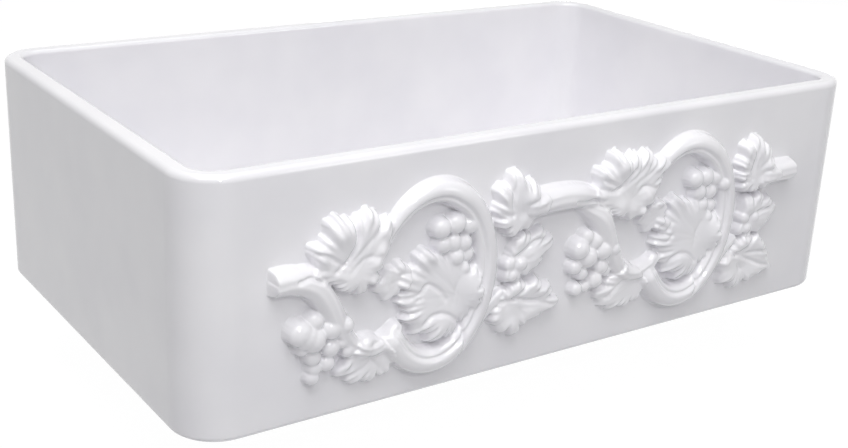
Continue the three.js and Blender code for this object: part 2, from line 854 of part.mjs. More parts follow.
const strainer = new THREE.Group();
strainer.position.y = outletSetback;
addPiece(strainer, 'strainer_body', strainerBody(), stainless());
addPiece(strainer, 'cross_bar', crossBar(), stainless());
addPiece(strainer, 'sealing_gasket', sealingGasket(), rubber());
addPiece(strainer, 'friction_ring', frictionRing(), fibre());
addPiece(strainer, 'locknut', locknut(), zinc());
addPiece(strainer, 'tailpiece_washer', tailpieceWasher(), nylon());
addPiece(strainer, 'tailpiece', tailpiece(), brass());
addPiece(strainer, 'coupling_nut', couplingNut(), zinc());
addPiece(strainer, 'basket_cup', basketCup(), stainless());
addPiece(strainer, 'basket_stopper', basketStopper(), rubber());
addPiece(strainer, 'basket_post', basketPost(), stainless());
addPiece(strainer, 'basket_knob', basketKnob(), stainless());
addPiece(strainer, 'basket_nut', basketNut(), stainless());
addPiece(strainer, 'spring_clip', springClip(), stainless());
sink.add(strainer);

export default sink;
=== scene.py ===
import math

import bmesh
import bpy
import numpy as np
from mathutils import Matrix, Vector


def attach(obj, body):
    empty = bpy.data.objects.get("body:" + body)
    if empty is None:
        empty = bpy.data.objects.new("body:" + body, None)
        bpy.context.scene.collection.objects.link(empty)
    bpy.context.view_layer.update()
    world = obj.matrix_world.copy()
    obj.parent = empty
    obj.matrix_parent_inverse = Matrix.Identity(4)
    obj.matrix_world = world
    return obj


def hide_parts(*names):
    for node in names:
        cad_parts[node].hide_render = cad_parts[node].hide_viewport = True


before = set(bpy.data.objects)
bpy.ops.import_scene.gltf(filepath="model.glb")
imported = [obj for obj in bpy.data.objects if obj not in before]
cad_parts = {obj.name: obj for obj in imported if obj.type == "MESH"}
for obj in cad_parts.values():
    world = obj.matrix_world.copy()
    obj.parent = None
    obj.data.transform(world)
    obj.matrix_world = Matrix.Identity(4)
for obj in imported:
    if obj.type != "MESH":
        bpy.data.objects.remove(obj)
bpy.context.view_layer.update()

# Farmhouse apron front sink. Sizes are in millimetres and turned to metres where a mesh is made.
mm = 0.001
outletAxis = 75  # behind the middle of the basin
scene = bpy.context.scene
scene.view_settings.view_transform = "Standard"


def linear(hexColour):
    parts = [int(hexColour[i:i + 2], 16) / 255 for i in (1, 3, 5)]
    return tuple(c / 12.92 if c <= 0.04045 else ((c + 0.055) / 1.055) ** 2.4 for c in parts) + (1.0,)


def addNode(tree, kind, settings=None, inputs=None):
    # an input is given as a value, or as the socket that it is linked to
    node = tree.nodes.new(kind)
    for name, value in (settings or {}).items():
        setattr(node, name, value)
    for socket, value in (inputs or {}).items():
        if isinstance(value, bpy.types.NodeSocket):
            tree.links.new(value, node.inputs[socket])
        else:
            node.inputs[socket].default_value = value
    return node


def emptyTree(owner):
    owner.use_nodes = True
    owner.node_tree.nodes.clear()
    return owner.node_tree


# The finishes. Two tones wander over patches of toneSize and the gloss over patches of glossSize. Relief is
# a list of layers, coarse first: how far its lumps lie apart, their depth and their detail.
finishes = {
    # Glazed fireclay: a thick opaque white glaze, fired glossy. It gives a clear reflection with the slow
    # waves of a hand-finished cast body and a faint orange peel, and its white varies a little.
    "glazed_fireclay": {
        "tones": ("#f1f0f4", "#f6f5f8"), "toneSize": 90, "toneDetail": 2, "roughness": (0.04, 0.09),
        "glossSize": 12, "relief": [(55, 0.16, 1), (5, 0.012, 2)],
        "shader": {"IOR": 1.52, "Coat Weight": 0.35, "Coat Roughness": 0.03}},
    # Stamped stainless steel, spun and polished: rings round the outlet's axis stretch the gloss. The real
    # rings are under half a millimetre apart, too fine to show, and are drawn about 2 mm apart.
    "spun_stainless_steel": {
        "tones": ("#b7b9bc", "#c9cbcd"), "toneSize": 14, "toneDetail": 2, "roughness": (0.16, 0.3),
        "glossSize": 14, "ringSize": 2, "ringDepth": 0.01, "relief": [], "shader": {"Metallic": 1.0}},
    # Black nitrile rubber, moulded, with a matt powdery skin. The real powder, and the grain of the fibre
    # and the zinc below, is too fine to show and is drawn about a millimetre wide.
    "moulded_rubber": {
        "tones": ("#1a1a1b", "#26262a"), "toneSize": 1.2, "toneDetail": 4, "roughness": (0.55, 0.8),
        "glossSize": 11, "relief": [(1.2, 0.03, 4)], "shader": {}},
    # Pressed vulcanised fibre, dry and slightly fuzzy.
    "pressed_fibre": {
        "tones": ("#8d6c47", "#a8875d"), "toneSize": 0.9, "toneDetail": 4, "roughness": (0.8, 0.95),
        "glossSize": 11, "relief": [(0.9, 0.05, 4)], "shader": {}},
    # Die cast zinc alloy, tumbled, with a dull grainy plate.
    "cast_zinc": {
        "tones": ("#9fa1a4", "#b4b6b9"), "toneSize": 1.6, "toneDetail": 4, "roughness": (0.32, 0.5),
        "glossSize": 11, "relief": [(1.6, 0.04, 4)], "shader": {"Metallic": 1.0}},
    # Injection moulded nylon, off white and waxy.
    "moulded_nylon": {
        "tones": ("#dedacd", "#e9e6db"), "toneSize": 4, "toneDetail": 4, "roughness": (0.4, 0.52),
        "glossSize": 11, "relief": [(4, 0.02, 4)], "shader": {}},
    # Drawn brass tube under bright chromium plate, so that it shows as a near mirror.
    "plated_brass": {
        "tones": ("#cfd1d4", "#dddfe2"), "toneSize": 9, "toneDetail": 4, "roughness": (0.07, 0.14),
        "glossSize": 11, "relief": [(9, 0.01, 4)], "shader": {"Metallic": 1.0}},
}
toneEnds = (0.35, 0.65)  # noise stays near the middle of its range, so the two tones are set inside it


def ringHeight(tree, where, look):
    # noise that changes only with the distance from the outlet's axis
    moved = addNode(tree, "ShaderNodeMapping", inputs={"Vector": where, "Location": (0, -outletAxis * mm, 0)})
    parts = addNode(tree, "ShaderNodeSeparateXYZ", inputs={"Vector": moved.outputs["Vector"]})
    flat = addNode(tree, "ShaderNodeCombineXYZ", inputs={"X": parts.outputs["X"], "Y": parts.outputs["Y"]})
    radius = addNode(tree, "ShaderNodeVectorMath", {"operation": "LENGTH"}, {0: flat.outputs["Vector"]})
    rings = addNode(tree, "ShaderNodeTexNoise", {"noise_dimensions": "1D"}, {
        "W": radius.outputs["Value"], "Scale": 1 / (look["ringSize"] * mm), "Detail": 3.0})
    return rings.outputs["Fac"]


def makeFinish(name):
    look = finishes[name]
    material = bpy.data.materials.new(name)
    tree = emptyTree(material)
    where = addNode(tree, "ShaderNodeTexCoord").outputs["Object"]
    tones = addNode(tree, "ShaderNodeTexNoise", inputs={
        "Vector": where, "Scale": 1 / (look["toneSize"] * mm), "Detail": look["toneDetail"]})
    ramp = addNode(tree, "ShaderNodeValToRGB", inputs={"Fac": tones.outputs["Fac"]})
    for element, position, tone in zip(ramp.color_ramp.elements, toneEnds, look["tones"]):
        element.position = position
        element.color = linear(tone)
    gloss = addNode(tree, "ShaderNodeTexNoise", inputs={
        "Vector": where, "Scale": 1 / (look["glossSize"] * mm), "Detail": 2.0})
    roughness = addNode(tree, "ShaderNodeMapRange", inputs={
        "Value": gloss.outputs["Fac"], "To Min": look["roughness"][0], "To Max": look["roughness"][1]})
    layers = []
    if "ringSize" in look:
        layers.append((ringHeight(tree, where, look), look["ringDepth"]))
    for size, depth, detail in look["relief"]:
        lumps = addNode(tree, "ShaderNodeTexNoise", inputs={
            "Vector": where, "Scale": 1 / (size * mm), "Detail": detail})
        layers.append((lumps.outputs["Fac"], depth))
    shader = addNode(tree, "ShaderNodeBsdfPrincipled", inputs={
        "Base Color": ramp.outputs["Color"], "Roughness": roughness.outputs["Result"], **look["shader"]})
    under = None
    for height, depth in layers:
        inputs = {"Height": height, "Strength": 1.0, "Distance": depth * mm}
        if under:
            inputs["Normal"] = under.outputs["Normal"]
        under = addNode(tree, "ShaderNodeBump", inputs=inputs)
    tree.links.new(under.outputs["Normal"], shader.inputs["Normal"])
    addNode(tree, "ShaderNodeOutputMaterial", inputs={"Surface": shader.outputs["BSDF"]})
    return material


glaze, steel, rubber, fibre, zinc, nylon, brass = (makeFinish(name) for name in finishes)
print("materials made")


def meshObject(name, points, faces, material):
    mesh = bpy.data.meshes.new(name)
    mesh.from_pydata([tuple(p) for p in points], [], [tuple(f) for f in faces])
    mesh.materials.append(material)
    obj = bpy.data.objects.new(name, mesh)
    scene.collection.objects.link(obj)
    return obj


def smoothed(obj):
    obj.data.polygons.foreach_set("use_smooth", [True] * len(obj.data.polygons))
    return obj


def baked(obj):
    # the object with its modifiers as a plain mesh
    bpy.context.view_layer.update()
    result = bpy.data.meshes.new_from_object(obj.evaluated_get(bpy.context.evaluated_depsgraph_get()))
    obj.modifiers.clear()
    obj.data = result
    result.name = obj.name
    return obj


def softenEdges(obj, width):
    # rounds the edges that are sharper than 30 degrees and shades the rest smooth
    smoothed(obj)
    if width > 0:
        edge = obj.modifiers.new("edge", "BEVEL")
        edge.width = width * mm
        edge.segments = 2
        edge.limit_method = "ANGLE"
        edge.angle_limit = math.radians(30)
        edge.harden_normals = False
    shade = obj.modifiers.new("shade", "WEIGHTED_NORMAL")
    shade.keep_sharp = True
    return baked(obj)


def place(obj, body, node):
    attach(obj, body)
    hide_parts(node)


def ringAbout(radius, turn, z):
    # points at the angles of turn about the outlet's axis
    return np.stack([radius * np.cos(turn), outletAxis + radius * np.sin(turn), turn * 0 + z], axis=1)


def evenTurn(count):
    return 2 * np.pi * np.arange(count) / count


def hexagonRadius(flats, turn):
    # the reach of a hexagon whose flats lie at this distance from its axis
    return flats / np.cos((turn + np.pi / 6) % (np.pi / 3) - np.pi / 6)


def loft(rings):
    # joins closed rings one after the other, and the last to the first
    count = len(rings[0])
    steps = len(rings)
    low = np.arange(steps * count).reshape(steps, count)
    high = np.roll(low, -1, axis=0)
    faces = np.stack([low, np.roll(low, -1, axis=1), np.roll(high, -1, axis=1), high], axis=2)
    return np.concatenate(rings) * mm, faces.reshape(-1, 4)


# The basin. Its rings of points run up the outside, over the rim, down the bowl, across the floor to the
# outlet, down through it and back under the floor. Levels are shares of the way from one edge to the next.
basin = {
    "width": 838, "depth": 508, "height": 254, "corner": 47, "wall": 20, "draft": 4,
    "rimRound": 7, "lipRound": 5, "footRound": 6, "floor": 24, "fall": 6, "bowlRound": 26,
    "bore": 90, "seat": 116, "seatDepth": 4, "seatMargin": 4, "recess": 130, "recessDepth": 3,
    "seatRound": 1.2, "boreRound": 1, "recessRound": 0.8,
    "cornerFaces": 20, "roundFaces": 8, "sideFaces": 10,
    "outsideLevels": (0.02, 0.1, 0.25, 0.4, 0.55, 0.7, 0.85, 0.95),
    "bowlLevels": (0.03, 0.15, 0.35, 0.6, 0.85, 0.96), "floorLevels": (0.04, 0.2, 0.4, 0.6, 0.8),
    "undersideLevels": (0.1, 0.5, 0.9)}


def ringOf(halfX, halfY, radius, z):
    # a rounded rectangle with points along its straight sides, anticlockwise from above
    ring = []
    sides = [(1, 1), (-1, 1), (-1, -1), (1, -1)]
    for quarter, (sideX, sideY) in enumerate(sides):
        arc = []
        for i in range(basin["cornerFaces"] + 1):
            angle = math.radians(90 * (quarter + i / basin["cornerFaces"]))
            arc.append((sideX * (halfX - radius) + radius * math.cos(angle),
                        sideY * (halfY - radius) + radius * math.sin(angle)))
        nextX, nextY = sides[(quarter + 1) % 4]
        angle = math.radians(90 * (quarter + 1))
        last = arc[-1]
        follow = (nextX * (halfX - radius) + radius * math.cos(angle),
                  nextY * (halfY - radius) + radius * math.sin(angle))
        for i in range(1, basin["sideFaces"]):
            share = i / basin["sideFaces"]
            arc.append((last[0] * (1 - share) + follow[0] * share, last[1] * (1 - share) + follow[1] * share))
        ring += [(x, y, z) for x, y in arc]
    return np.array(ring)


def arcLevels(radius, count):
    # inset and rise round a quarter circle
    turn = [math.radians(90 * i / count) for i in range(count + 1)]
    return [(radius * (1 - math.cos(a)), radius * math.sin(a)) for a in turn]


def ringsBetween(first, last, levels):
    # rings at shares of the way from the first to the last
    return [first * (1 - share) + last * share for share in levels]


def outsideRings():
    b = basin
    halfX, halfY = b["width"] / 2, b["depth"] / 2
    footArc = arcLevels(b["footRound"], b["roundFaces"])
    levels = [(inset, b["footRound"] - rise) for inset, rise in reversed(footArc)]
    side = b["height"] - b["rimRound"] - b["footRound"]
    levels += [(0, b["footRound"] + share * side) for share in b["outsideLevels"]]
    rimFoot = b["height"] - b["rimRound"]
    levels += [(inset, rimFoot + rise) for inset, rise in arcLevels(b["rimRound"], b["roundFaces"])]
    return [ringOf(halfX - inset, halfY - inset, b["corner"] - inset, z) for inset, z in levels]


def bowlRings():
    b = basin
    halfX, halfY, radius = b["width"] / 2 - b["wall"], b["depth"] / 2 - b["wall"], b["corner"] - b["wall"]
    lipFoot = b["height"] - b["lipRound"]
    wallFoot = b["floor"] + b["fall"] + b["bowlRound"]
    levels = [(-inset, lipFoot + rise) for inset, rise in reversed(arcLevels(b["lipRound"], b["roundFaces"]))]
    levels += [(b["draft"] * share, lipFoot + share * (wallFoot - lipFoot)) for share in b["bowlLevels"]]
    levels += [(b["draft"] + inset, wallFoot - rise)
               for inset, rise in arcLevels(b["bowlRound"], 2 * b["roundFaces"])]
    return [ringOf(halfX - inset, halfY - inset, radius, z) for inset, z in levels]


def outletLevels():
    # radius and height from the floor down through the seat, the bore and the recess under the floor
    b = basin
    seat, bore, recess = b["seat"] / 2, b["bore"] / 2, b["recess"] / 2
    seatRound, boreRound, recessRound = b["seatRound"], b["boreRound"], b["recessRound"]
    floor, seatZ, recessZ = b["floor"], b["floor"] - b["seatDepth"], b["recessDepth"]
    return [
        (seat + seatRound, floor), (seat + seatRound / 4, floor - seatRound / 4), (seat, floor - seatRound),
        (seat, seatZ + seatRound / 2), (seat - seatRound / 2, seatZ), (bore + boreRound, seatZ),
        (bore, seatZ - boreRound), (bore, recessZ + boreRound), (bore + boreRound, recessZ),
        (recess - recessRound, recessZ), (recess, recessZ - recessRound), (recess, recessRound),
        (recess + recessRound, 0.0)]


def makeBasin():
    b = basin
    rings = outsideRings() + bowlRings()
    last = rings[-1]
    turn = np.arctan2(last[:, 1] - outletAxis, last[:, 0])
    seatRing = ringAbout(b["seat"] / 2 + b["seatMargin"], turn, b["floor"])
    rings += ringsBetween(last, seatRing, b["floorLevels"])
    rings.append(seatRing)
    rings += [ringAbout(radius, turn, z) for radius, z in outletLevels()]
    rings += ringsBetween(rings[-1], rings[0], b["undersideLevels"])
    points, faces = loft(rings)
    return meshObject("fireclay_basin", points, faces, glaze)


place(softenEdges(makeBasin(), 0), "sink", "basin")
print("basin made")

# The grapevine is worked as one height field over a panel of the apron, and then cut into its pieces. Places
# on it are [across, up] from the middle of the apron's foot, and a stem's and a berry's third number is its
# width or radius. Where two pieces meet, the glaze fills the corner over a height of melt. The panel is
# softened as a whole, its foot is sunk into the apron, and cells lower than leastHeight are left out.
panel = {
    "face": 254, "step": 0.7, "left": -350, "right": 328, "low": 24, "high": 232, "soften": 0.75,
    "sink": 0.05, "leastHeight": 0.02, "footCells": 6}

# A stem's rise is a share of its width, and its grooves sway from side to side along it. A berry's rise and
# roundness are shares of its radius, and its seat is a share of the height of the leaf below it.
stemCut = {
    "rise": 0.72, "fullness": 0.35, "melt": 5, "grooves": 9, "sway": 1.5, "swayLength": 23, "barkDepth": 0.8,
    "twigDepth": 0.3, "crackWidth": 1.8, "pastPlace": 0.5, "pastSawnEnd": 0.02}
berryCut = {"rise": 0.62, "round": 0.88, "seat": 0.72, "melt": 1}

# A scroll is an oval ring that isn't closed, with a rolled inner lip.
scroll = {
    "centre": (-169, 123), "pitch": 327, "lift": 2, "across": 72, "up": 99, "lean": 3, "start": 158,
    "end": -137, "steps": 90, "width": 27, "tip": 13, "taper": 0.3, "grooveDepth": 0.15, "lip": 2.8,
    "lipAt": 0.38, "lipWidth": 0.15}

# Leaves. Sizes are in millimetres, angles in degrees, and a share is of the way from where the veins meet to
# the edge, unless the line says otherwise.
leafCut = {
    "margin": 3, "edgeHeight": 3.5, "leastHeight": 2.2, "edgeFade": 5, "melt": 2,
    # the crown is a share lower where the veins meet, and falls away beyond the shoulder
    "dip": 0.93, "shoulder": 0.7,
    # the outline is set back between two lobes, more where they lie further apart, and has small teeth, one
    # for each toothSize of the gap in degrees times the reach
    "notch": 0.08, "notchSpread": 0.34, "bluntness": 2.1, "toothSize": 620, "toothDepth": 0.03,
    # a valley between two lobes: share of the height, width as a share of the gap, where it begins, over how
    # much it deepens, and how much of it is lost at the edge
    "valley": 0.17, "valleyWidth": 0.22, "valleyStart": 0.5, "valleyOver": 0.35, "valleyFade": 0.4,
    # a narrow gap between two lobes has a shallow valley, and a wide one the full depth
    "narrowGap": 12, "gapRange": 34, "shallowest": 0.2,
    # a vein runs out along each long lobe, which has at least this share of the longest one's reach
    "veinDepth": 0.3, "veinWidth": 1.6, "veinSway": 0.03, "veinSwayLength": 9, "veinStart": 8,
    "veinSector": 1.2, "longLobe": 0.7, "longRange": 0.25,
    # the edge is frilled with its teeth, in the same terms
    "frill": 0.8, "frillStart": 0.6, "frillOver": 0.3, "frillFade": 0.5,
    # swells and folds fade towards the edge, and slow waves go through the whole leaf
    "foldWidth": 2.4, "swellFall": 0.9, "edgeFlat": 0.75, "wave": 0.9, "waveLengths": (17, 19, 11),
    "waveStart": (0.13, 0.29), "waveRise": 1.6,
    # a leaf that lies on other pieces follows them
    "drapeSoft": 3.5, "drapeThick": 2.2, "drapeDetail": 0.6}

# The photograph's viewing angle, in radians and millimetres. Its frame and focal length are in pixels.
view = {"azimuth": -0.6125, "elevation": 0.3567, "distance": 1584.48, "target": (-1.0341, 0.0, 61.34),
        "roll": 0.0492, "focal": 1338.78, "frameWidth": 848, "frameHeight": 448, "sensor": 36}

# Close-ups of the photograph on which the vine's swells, folds and cracks were picked out: the
# photograph's pixel at the left upper corner, and how many times the close-up is enlarged.
closeUps = {
    "left": (255, 170, 6.4), "middle": (470, 150, 8.04), "right": (590, 125, 7.467),
    "leftFoot": (400, 270, 12.06), "rightFoot": (660, 230, 14.25)}
readAt = 12  # how far in front of the apron a picked pixel is taken to lie
everyKind = ("scroll", "branch", "twig", "stub", "leaf", "grapes")

# A leaf: where its veins meet, how high it crowns and its lobes, as [degrees, reach] about that point. Its
# swells are [x, y, radius] in pixels of its close-up and their rise in millimetres, and its folds a depth in
# millimetres and the pixels on the way. A leaf drapes over every kind of piece, unless "over" names some.
leaves = {
    "leaf_left_top": {
        "at": (-259, 150), "crown": 16, "closeUp": "left",
        "lobes": [(4, 31), (28, 44), (46, 58), (71, 57), (116, 58), (153, 54), (170, 44), (-125, 25),
                  (-77, 28), (-32, 31)],
        "swells": [(560, 395, 85, 5), (470, 335, 38, 3), (395, 495, 45, 4), (415, 585, 45, 3),
                   (750, 275, 42, 3), (840, 315, 42, 3), (845, 400, 32, 2), (800, 510, 38, 3),
                   (765, 590, 36, 3), (620, 690, 80, 3), (740, 705, 22, 2)],
        "folds": [(4, [(520, 650), (600, 560), (650, 450), (650, 350)]),
                  (1.2, [(560, 650), (690, 500), (790, 380)]),
                  (1.2, [(600, 650), (700, 560), (780, 545)]),
                  (3, [(350, 540), (450, 545), (540, 600)]), (2, [(420, 440), (490, 450)])]},
    "leaf_left_inner": {
        "at": (-143, 100), "crown": 13, "closeUp": "left", "over": ("grapes",),
        "lobes": [(4, 30), (48, 36), (99, 52), (131, 70), (157, 76), (172, 70), (-165, 64), (-152, 60),
                  (-124, 54), (-103, 45), (-72, 30), (-27, 31)],
        "swells": [(1080, 560, 48, 3), (1150, 545, 38, 3), (930, 760, 48, 3), (955, 935, 70, 6),
                   (1190, 1000, 85, 5), (1420, 750, 110, 10), (1120, 680, 90, -2)],
        "folds": [(2.4, [(890, 780), (960, 820), (1060, 800), (1110, 740), (1180, 770), (1220, 830)]),
                  (2.6, [(1060, 1060), (1080, 990), (1140, 930), (1220, 920), (1290, 965)]),
                  (1, [(1300, 690), (1280, 760), (1270, 850)]),
                  (1.6, [(900, 850), (1000, 860), (1080, 820)])]},
    "leaf_left_fold": {
        "at": (-206, 130), "crown": 9, "closeUp": "left",
        "lobes": [(-143, 29), (-167, 34), (153, 22), (100, 18), (55, 13), (-50, 9)],
        "swells": [(930, 590, 40, 3), (760, 760, 35, 2), (960, 640, 30, 2)],
        "folds": [(1.5, [(800, 620), (850, 680), (860, 760)])]},
    "leaf_left_foot": {
        "at": (-229, 60), "crown": 11, "closeUp": "left",
        "lobes": [(143, 30), (178, 39), (-165, 52), (-143, 44), (-116, 34), (-77, 28), (40, 9)],
        "swells": [(690, 1120, 70, 7), (600, 1240, 40, 3), (540, 1290, 28, 2), (700, 1290, 60, 1.5)],
        "folds": [(1.5, [(760, 1100), (740, 1200), (820, 1290)]),
                  (2, [(640, 1180), (620, 1270), (560, 1340)]),
                  (1, [(800, 1180), (740, 1230), (600, 1350)])]},
    "leaf_left_outer_top": {
        "at": (-73, 169), "crown": 15, "closeUp": "middle",
        "lobes": [(8, 31), (26, 37), (60, 40), (99, 50), (128, 44), (156, 32), (-171, 27), (-129, 23),
                  (-38, 19)],
        "swells": [(340, 170, 45, 3), (270, 250, 45, 3), (230, 310, 35, 2), (200, 420, 75, 6),
                   (480, 380, 75, 6), (410, 200, 35, 2), (460, 270, 40, 2), (560, 400, 35, 2),
                   (270, 600, 50, 2), (430, 560, 40, 2)],
        "folds": [(2.4, [(385, 150), (375, 250), (345, 400), (350, 520)]),
                  (3, [(200, 500), (260, 520), (340, 530)]), (2, [(190, 570), (250, 575)]),
                  (1.5, [(200, 620), (260, 625)]), (1, [(440, 430), (520, 400)])]},
    "leaf_left_outer_middle": {
        "at": (-73, 120), "crown": 12, "closeUp": "middle",
        "lobes": [(20, 54), (42, 48), (68, 34), (-8, 36), (-35, 25), (-84, 21), (-126, 23), (170, 8)],
        "swells": [(460, 650, 45, 3), (400, 730, 35, 2), (600, 650, 60, 3), (520, 850, 60, 3),
                   (280, 1030, 40, 2)],
        "folds": [(3, [(630, 700), (520, 740), (400, 850), (340, 870)]), (1, [(520, 640), (540, 720)])]},
    "leaf_left_outer_foot": {
        "at": (-73, 72), "crown": 12, "closeUp": "middle",
        "lobes": [(-7, 66), (14, 55), (38, 43), (70, 30), (-21, 45), (-44, 31), (-80, 34), (-124, 30),
                  (-153, 29)],
        "swells": [(400, 1060, 90, 2), (250, 1160, 60, 4), (550, 1070, 60, 4), (600, 1130, 40, 2),
                   (200, 1380, 45, 2), (330, 1420, 50, 3), (300, 1250, 40, -2), (480, 1310, 50, 2)],
        "folds": [(2.4, [(370, 1200), (440, 1120), (530, 1010)]),
                  (2.5, [(370, 1200), (520, 1210), (640, 1150)]),
                  (2, [(370, 1200), (540, 1220), (700, 1240)]),
                  (3, [(150, 1350), (220, 1260), (370, 1200)]), (1, [(400, 1290), (430, 1330)])]},
    "leaf_right_top": {
        "at": (66, 164), "crown": 16, "closeUp": "right",
        "lobes": [(-4, 45), (16, 54), (34, 68), (60, 59), (77, 52), (108, 58), (139, 56), (155, 46),
                  (-122, 20), (-62, 27), (-33, 37)],
        "swells": [(205, 215, 42, 4), (160, 270, 32, 3), (85, 365, 40, 4), (60, 435, 35, 3),
                   (250, 300, 60, 4), (330, 225, 42, 3), (420, 205, 36, 3), (530, 250, 36, 3),
                   (500, 300, 30, 2), (410, 520, 42, 3), (375, 640, 22, 3), (230, 610, 50, 3),
                   (310, 620, 40, 2)],
        "folds": [(4, [(90, 480), (190, 490), (280, 400), (330, 330)]),
                  (1.5, [(200, 500), (320, 400), (420, 300)]), (1, [(330, 440), (450, 350)]),
                  (2, [(360, 480), (400, 450), (490, 470)]), (3, [(60, 400), (150, 430), (200, 460)]),
                  (1.2, [(180, 280), (210, 320)])]},
    "leaf_right_inner": {
        "at": (182, 101), "crown": 13, "closeUp": "right", "over": ("grapes",),
        "lobes": [(4, 30), (48, 36), (99, 52), (131, 72), (157, 76), (172, 70), (-165, 64), (-152, 60),
                  (-124, 54), (-103, 45), (-72, 30), (-27, 31)],
        "swells": [(640, 540, 42, 3), (735, 545, 38, 3), (500, 745, 50, 3), (470, 930, 70, 6),
                   (660, 1040, 85, 5), (935, 785, 95, 10), (700, 650, 90, -2)],
        "folds": [(2.4, [(430, 760), (500, 800), (570, 795), (610, 740)]),
                  (1.8, [(460, 850), (560, 870), (620, 820)]),
                  (2.6, [(570, 1080), (590, 1010), (650, 960), (720, 960), (770, 1010)]),
                  (1, [(820, 720), (790, 800), (770, 900)])]},
    "leaf_right_fold": {
        "at": (121, 141), "crown": 9, "closeUp": "right",
        "lobes": [(-143, 29), (-167, 32), (153, 20), (100, 16), (55, 13), (-50, 9)],
        "swells": [(560, 560, 42, 3), (350, 740, 35, 2), (490, 600, 40, 1)],
        "folds": [(1.5, [(400, 620), (440, 680), (400, 740)]), (1, [(540, 640), (590, 600)])]},
    "leaf_right_foot": {
        "at": (94, 67), "crown": 11, "closeUp": "right",
        "lobes": [(137, 33), (165, 44), (-173, 58), (-158, 53), (-148, 46), (-122, 32), (-88, 24),
                  (40, 9)],
        "swells": [(215, 1070, 60, 7), (110, 1180, 45, 3), (60, 1280, 35, 2), (200, 1240, 70, 1.5)],
        "folds": [(1.2, [(300, 1130), (200, 1220), (100, 1330)]), (2, [(60, 1310), (150, 1290)])]},
    "leaf_right_outer_top": {
        "at": (258, 165), "crown": 15, "closeUp": "right",
        "lobes": [(24, 33), (57, 38), (90, 45), (115, 42), (146, 31), (180, 25), (-137, 27), (-90, 23),
                  (-38, 30), (-10, 38)],
        "swells": [(1245, 95, 38, 3), (1180, 160, 36, 3), (1150, 230, 36, 3), (1135, 290, 36, 3),
                   (1320, 290, 42, 5), (1290, 200, 40, 2), (1150, 360, 28, 2), (1140, 410, 24, 2),
                   (1280, 420, 30, 2), (1330, 390, 26, 2)],
        "folds": [(2.4, [(1270, 110), (1240, 230), (1215, 330), (1210, 400)]),
                  (2, [(1120, 340), (1200, 345)]), (1.5, [(1120, 385), (1190, 390)]),
                  (1.5, [(1120, 430), (1190, 425)]), (1.2, [(1330, 230), (1270, 310)])]},
    "leaf_right_outer_middle": {
        "at": (258, 111), "crown": 12, "closeUp": "right",
        "lobes": [(9, 50), (30, 42), (56, 36), (98, 30), (-10, 39), (-32, 31), (-90, 22), (-133, 23),
                  (170, 8)],
        "swells": [(1255, 520, 36, 3), (1190, 625, 36, 3), (1360, 570, 50, 2), (1240, 700, 50, 3),
                   (1100, 790, 40, 2)],
        "folds": [(3, [(1380, 610), (1270, 640), (1180, 700)]), (1, [(1290, 540), (1300, 600)])]},
    "leaf_right_outer_foot": {
        "at": (258, 65), "crown": 12, "closeUp": "right",
        "lobes": [(-23, 60), (-8, 47), (22, 38), (45, 36), (90, 28), (-36, 47), (-61, 37), (-105, 39),
                  (-143, 42), (-166, 36)],
        "swells": [(1060, 910, 50, 4), (1170, 860, 60, 3), (1280, 880, 45, 4), (1290, 950, 40, 2),
                   (1000, 1020, 45, 3), (960, 1120, 35, 2), (1050, 1150, 45, 3), (1130, 1080, 40, -2),
                   (1230, 1090, 60, 2)],
        "folds": [(3, [(920, 1080), (1000, 990), (1100, 970)]),
                  (2.4, [(1100, 970), (1180, 910), (1250, 810)]),
                  (2, [(1100, 970), (1250, 940), (1310, 920)]),
                  (2.5, [(1100, 970), (1250, 1030), (1320, 1040)]), (1.5, [(1110, 1040), (1130, 1080)])]},
}

grapes = {
    "grapes_left_low": [
        (-316, 98, 13), (-309, 93, 13), (-302, 89, 13), (-300, 106, 10), (-283, 96, 11), (-269, 97, 9),
        (-283, 76, 10), (-272, 80, 7), (-265, 70, 8), (-301, 70, 9), (-312, 81, 8), (-286, 61, 9),
        (-299, 58, 8), (-301, 49, 8)],
    "grapes_left_inner": [
        (-165, 173, 11), (-148, 175, 11), (-132, 172, 10), (-161, 156, 10), (-150, 156, 10), (-138, 154, 10),
        (-147, 141, 9), (-134, 141, 9), (-138, 128, 7)],
    "grapes_left_outer": [(-80, 120, 8), (-67, 119, 8), (-77, 108, 7)],
    "grapes_right_low": [
        (10, 120, 12), (22, 109, 12), (20, 131, 9), (31, 125, 10), (42, 114, 12), (54, 114, 8), (7, 100, 9),
        (18, 91, 8), (42, 95, 10), (35, 81, 10), (51, 87, 7), (12, 74, 8), (24, 75, 7)],
    "grapes_right_inner": [
        (167, 172, 11), (182, 172, 11), (196, 170, 10), (207, 163, 9), (175, 156, 10), (191, 155, 10),
        (181, 141, 8), (194, 138, 9), (189, 126, 7)],
    "grapes_right_outer": [(252, 114, 8), (266, 113, 7), (256, 101, 7)],
}

stems = {
    "twig_left": [[(-136, 44, 14), (-118, 60, 15), (-101, 78, 14), (-84, 90, 11)]],
    "twig_right": [[(192, 42, 14), (209, 58, 15), (225, 76, 14), (243, 88, 11)]],
    "branch_left": [
        [(-343, 150, 25), (-322, 149, 26), (-302, 140, 26), (-286, 120, 25), (-274, 96, 23), (-260, 74, 19),
         (-240, 65, 18), (-222, 70, 18), (-211, 78, 17)],
        [(-322, 153, 17), (-296, 152, 16), (-262, 153, 15)]],
    "branch_middle": [[(-58, 178, 26), (-25, 180, 27), (3, 178, 26), (30, 172, 20), (62, 168, 13)]],
    "branch_fork": [[
        (14, 166, 17), (34, 152, 26), (47, 128, 25), (58, 104, 23), (74, 83, 19), (94, 78, 18), (112, 83, 18),
        (119, 88, 17)]],
    "stub_right": [[(276, 161, 25), (300, 161, 25), (322, 161, 24)]],
}

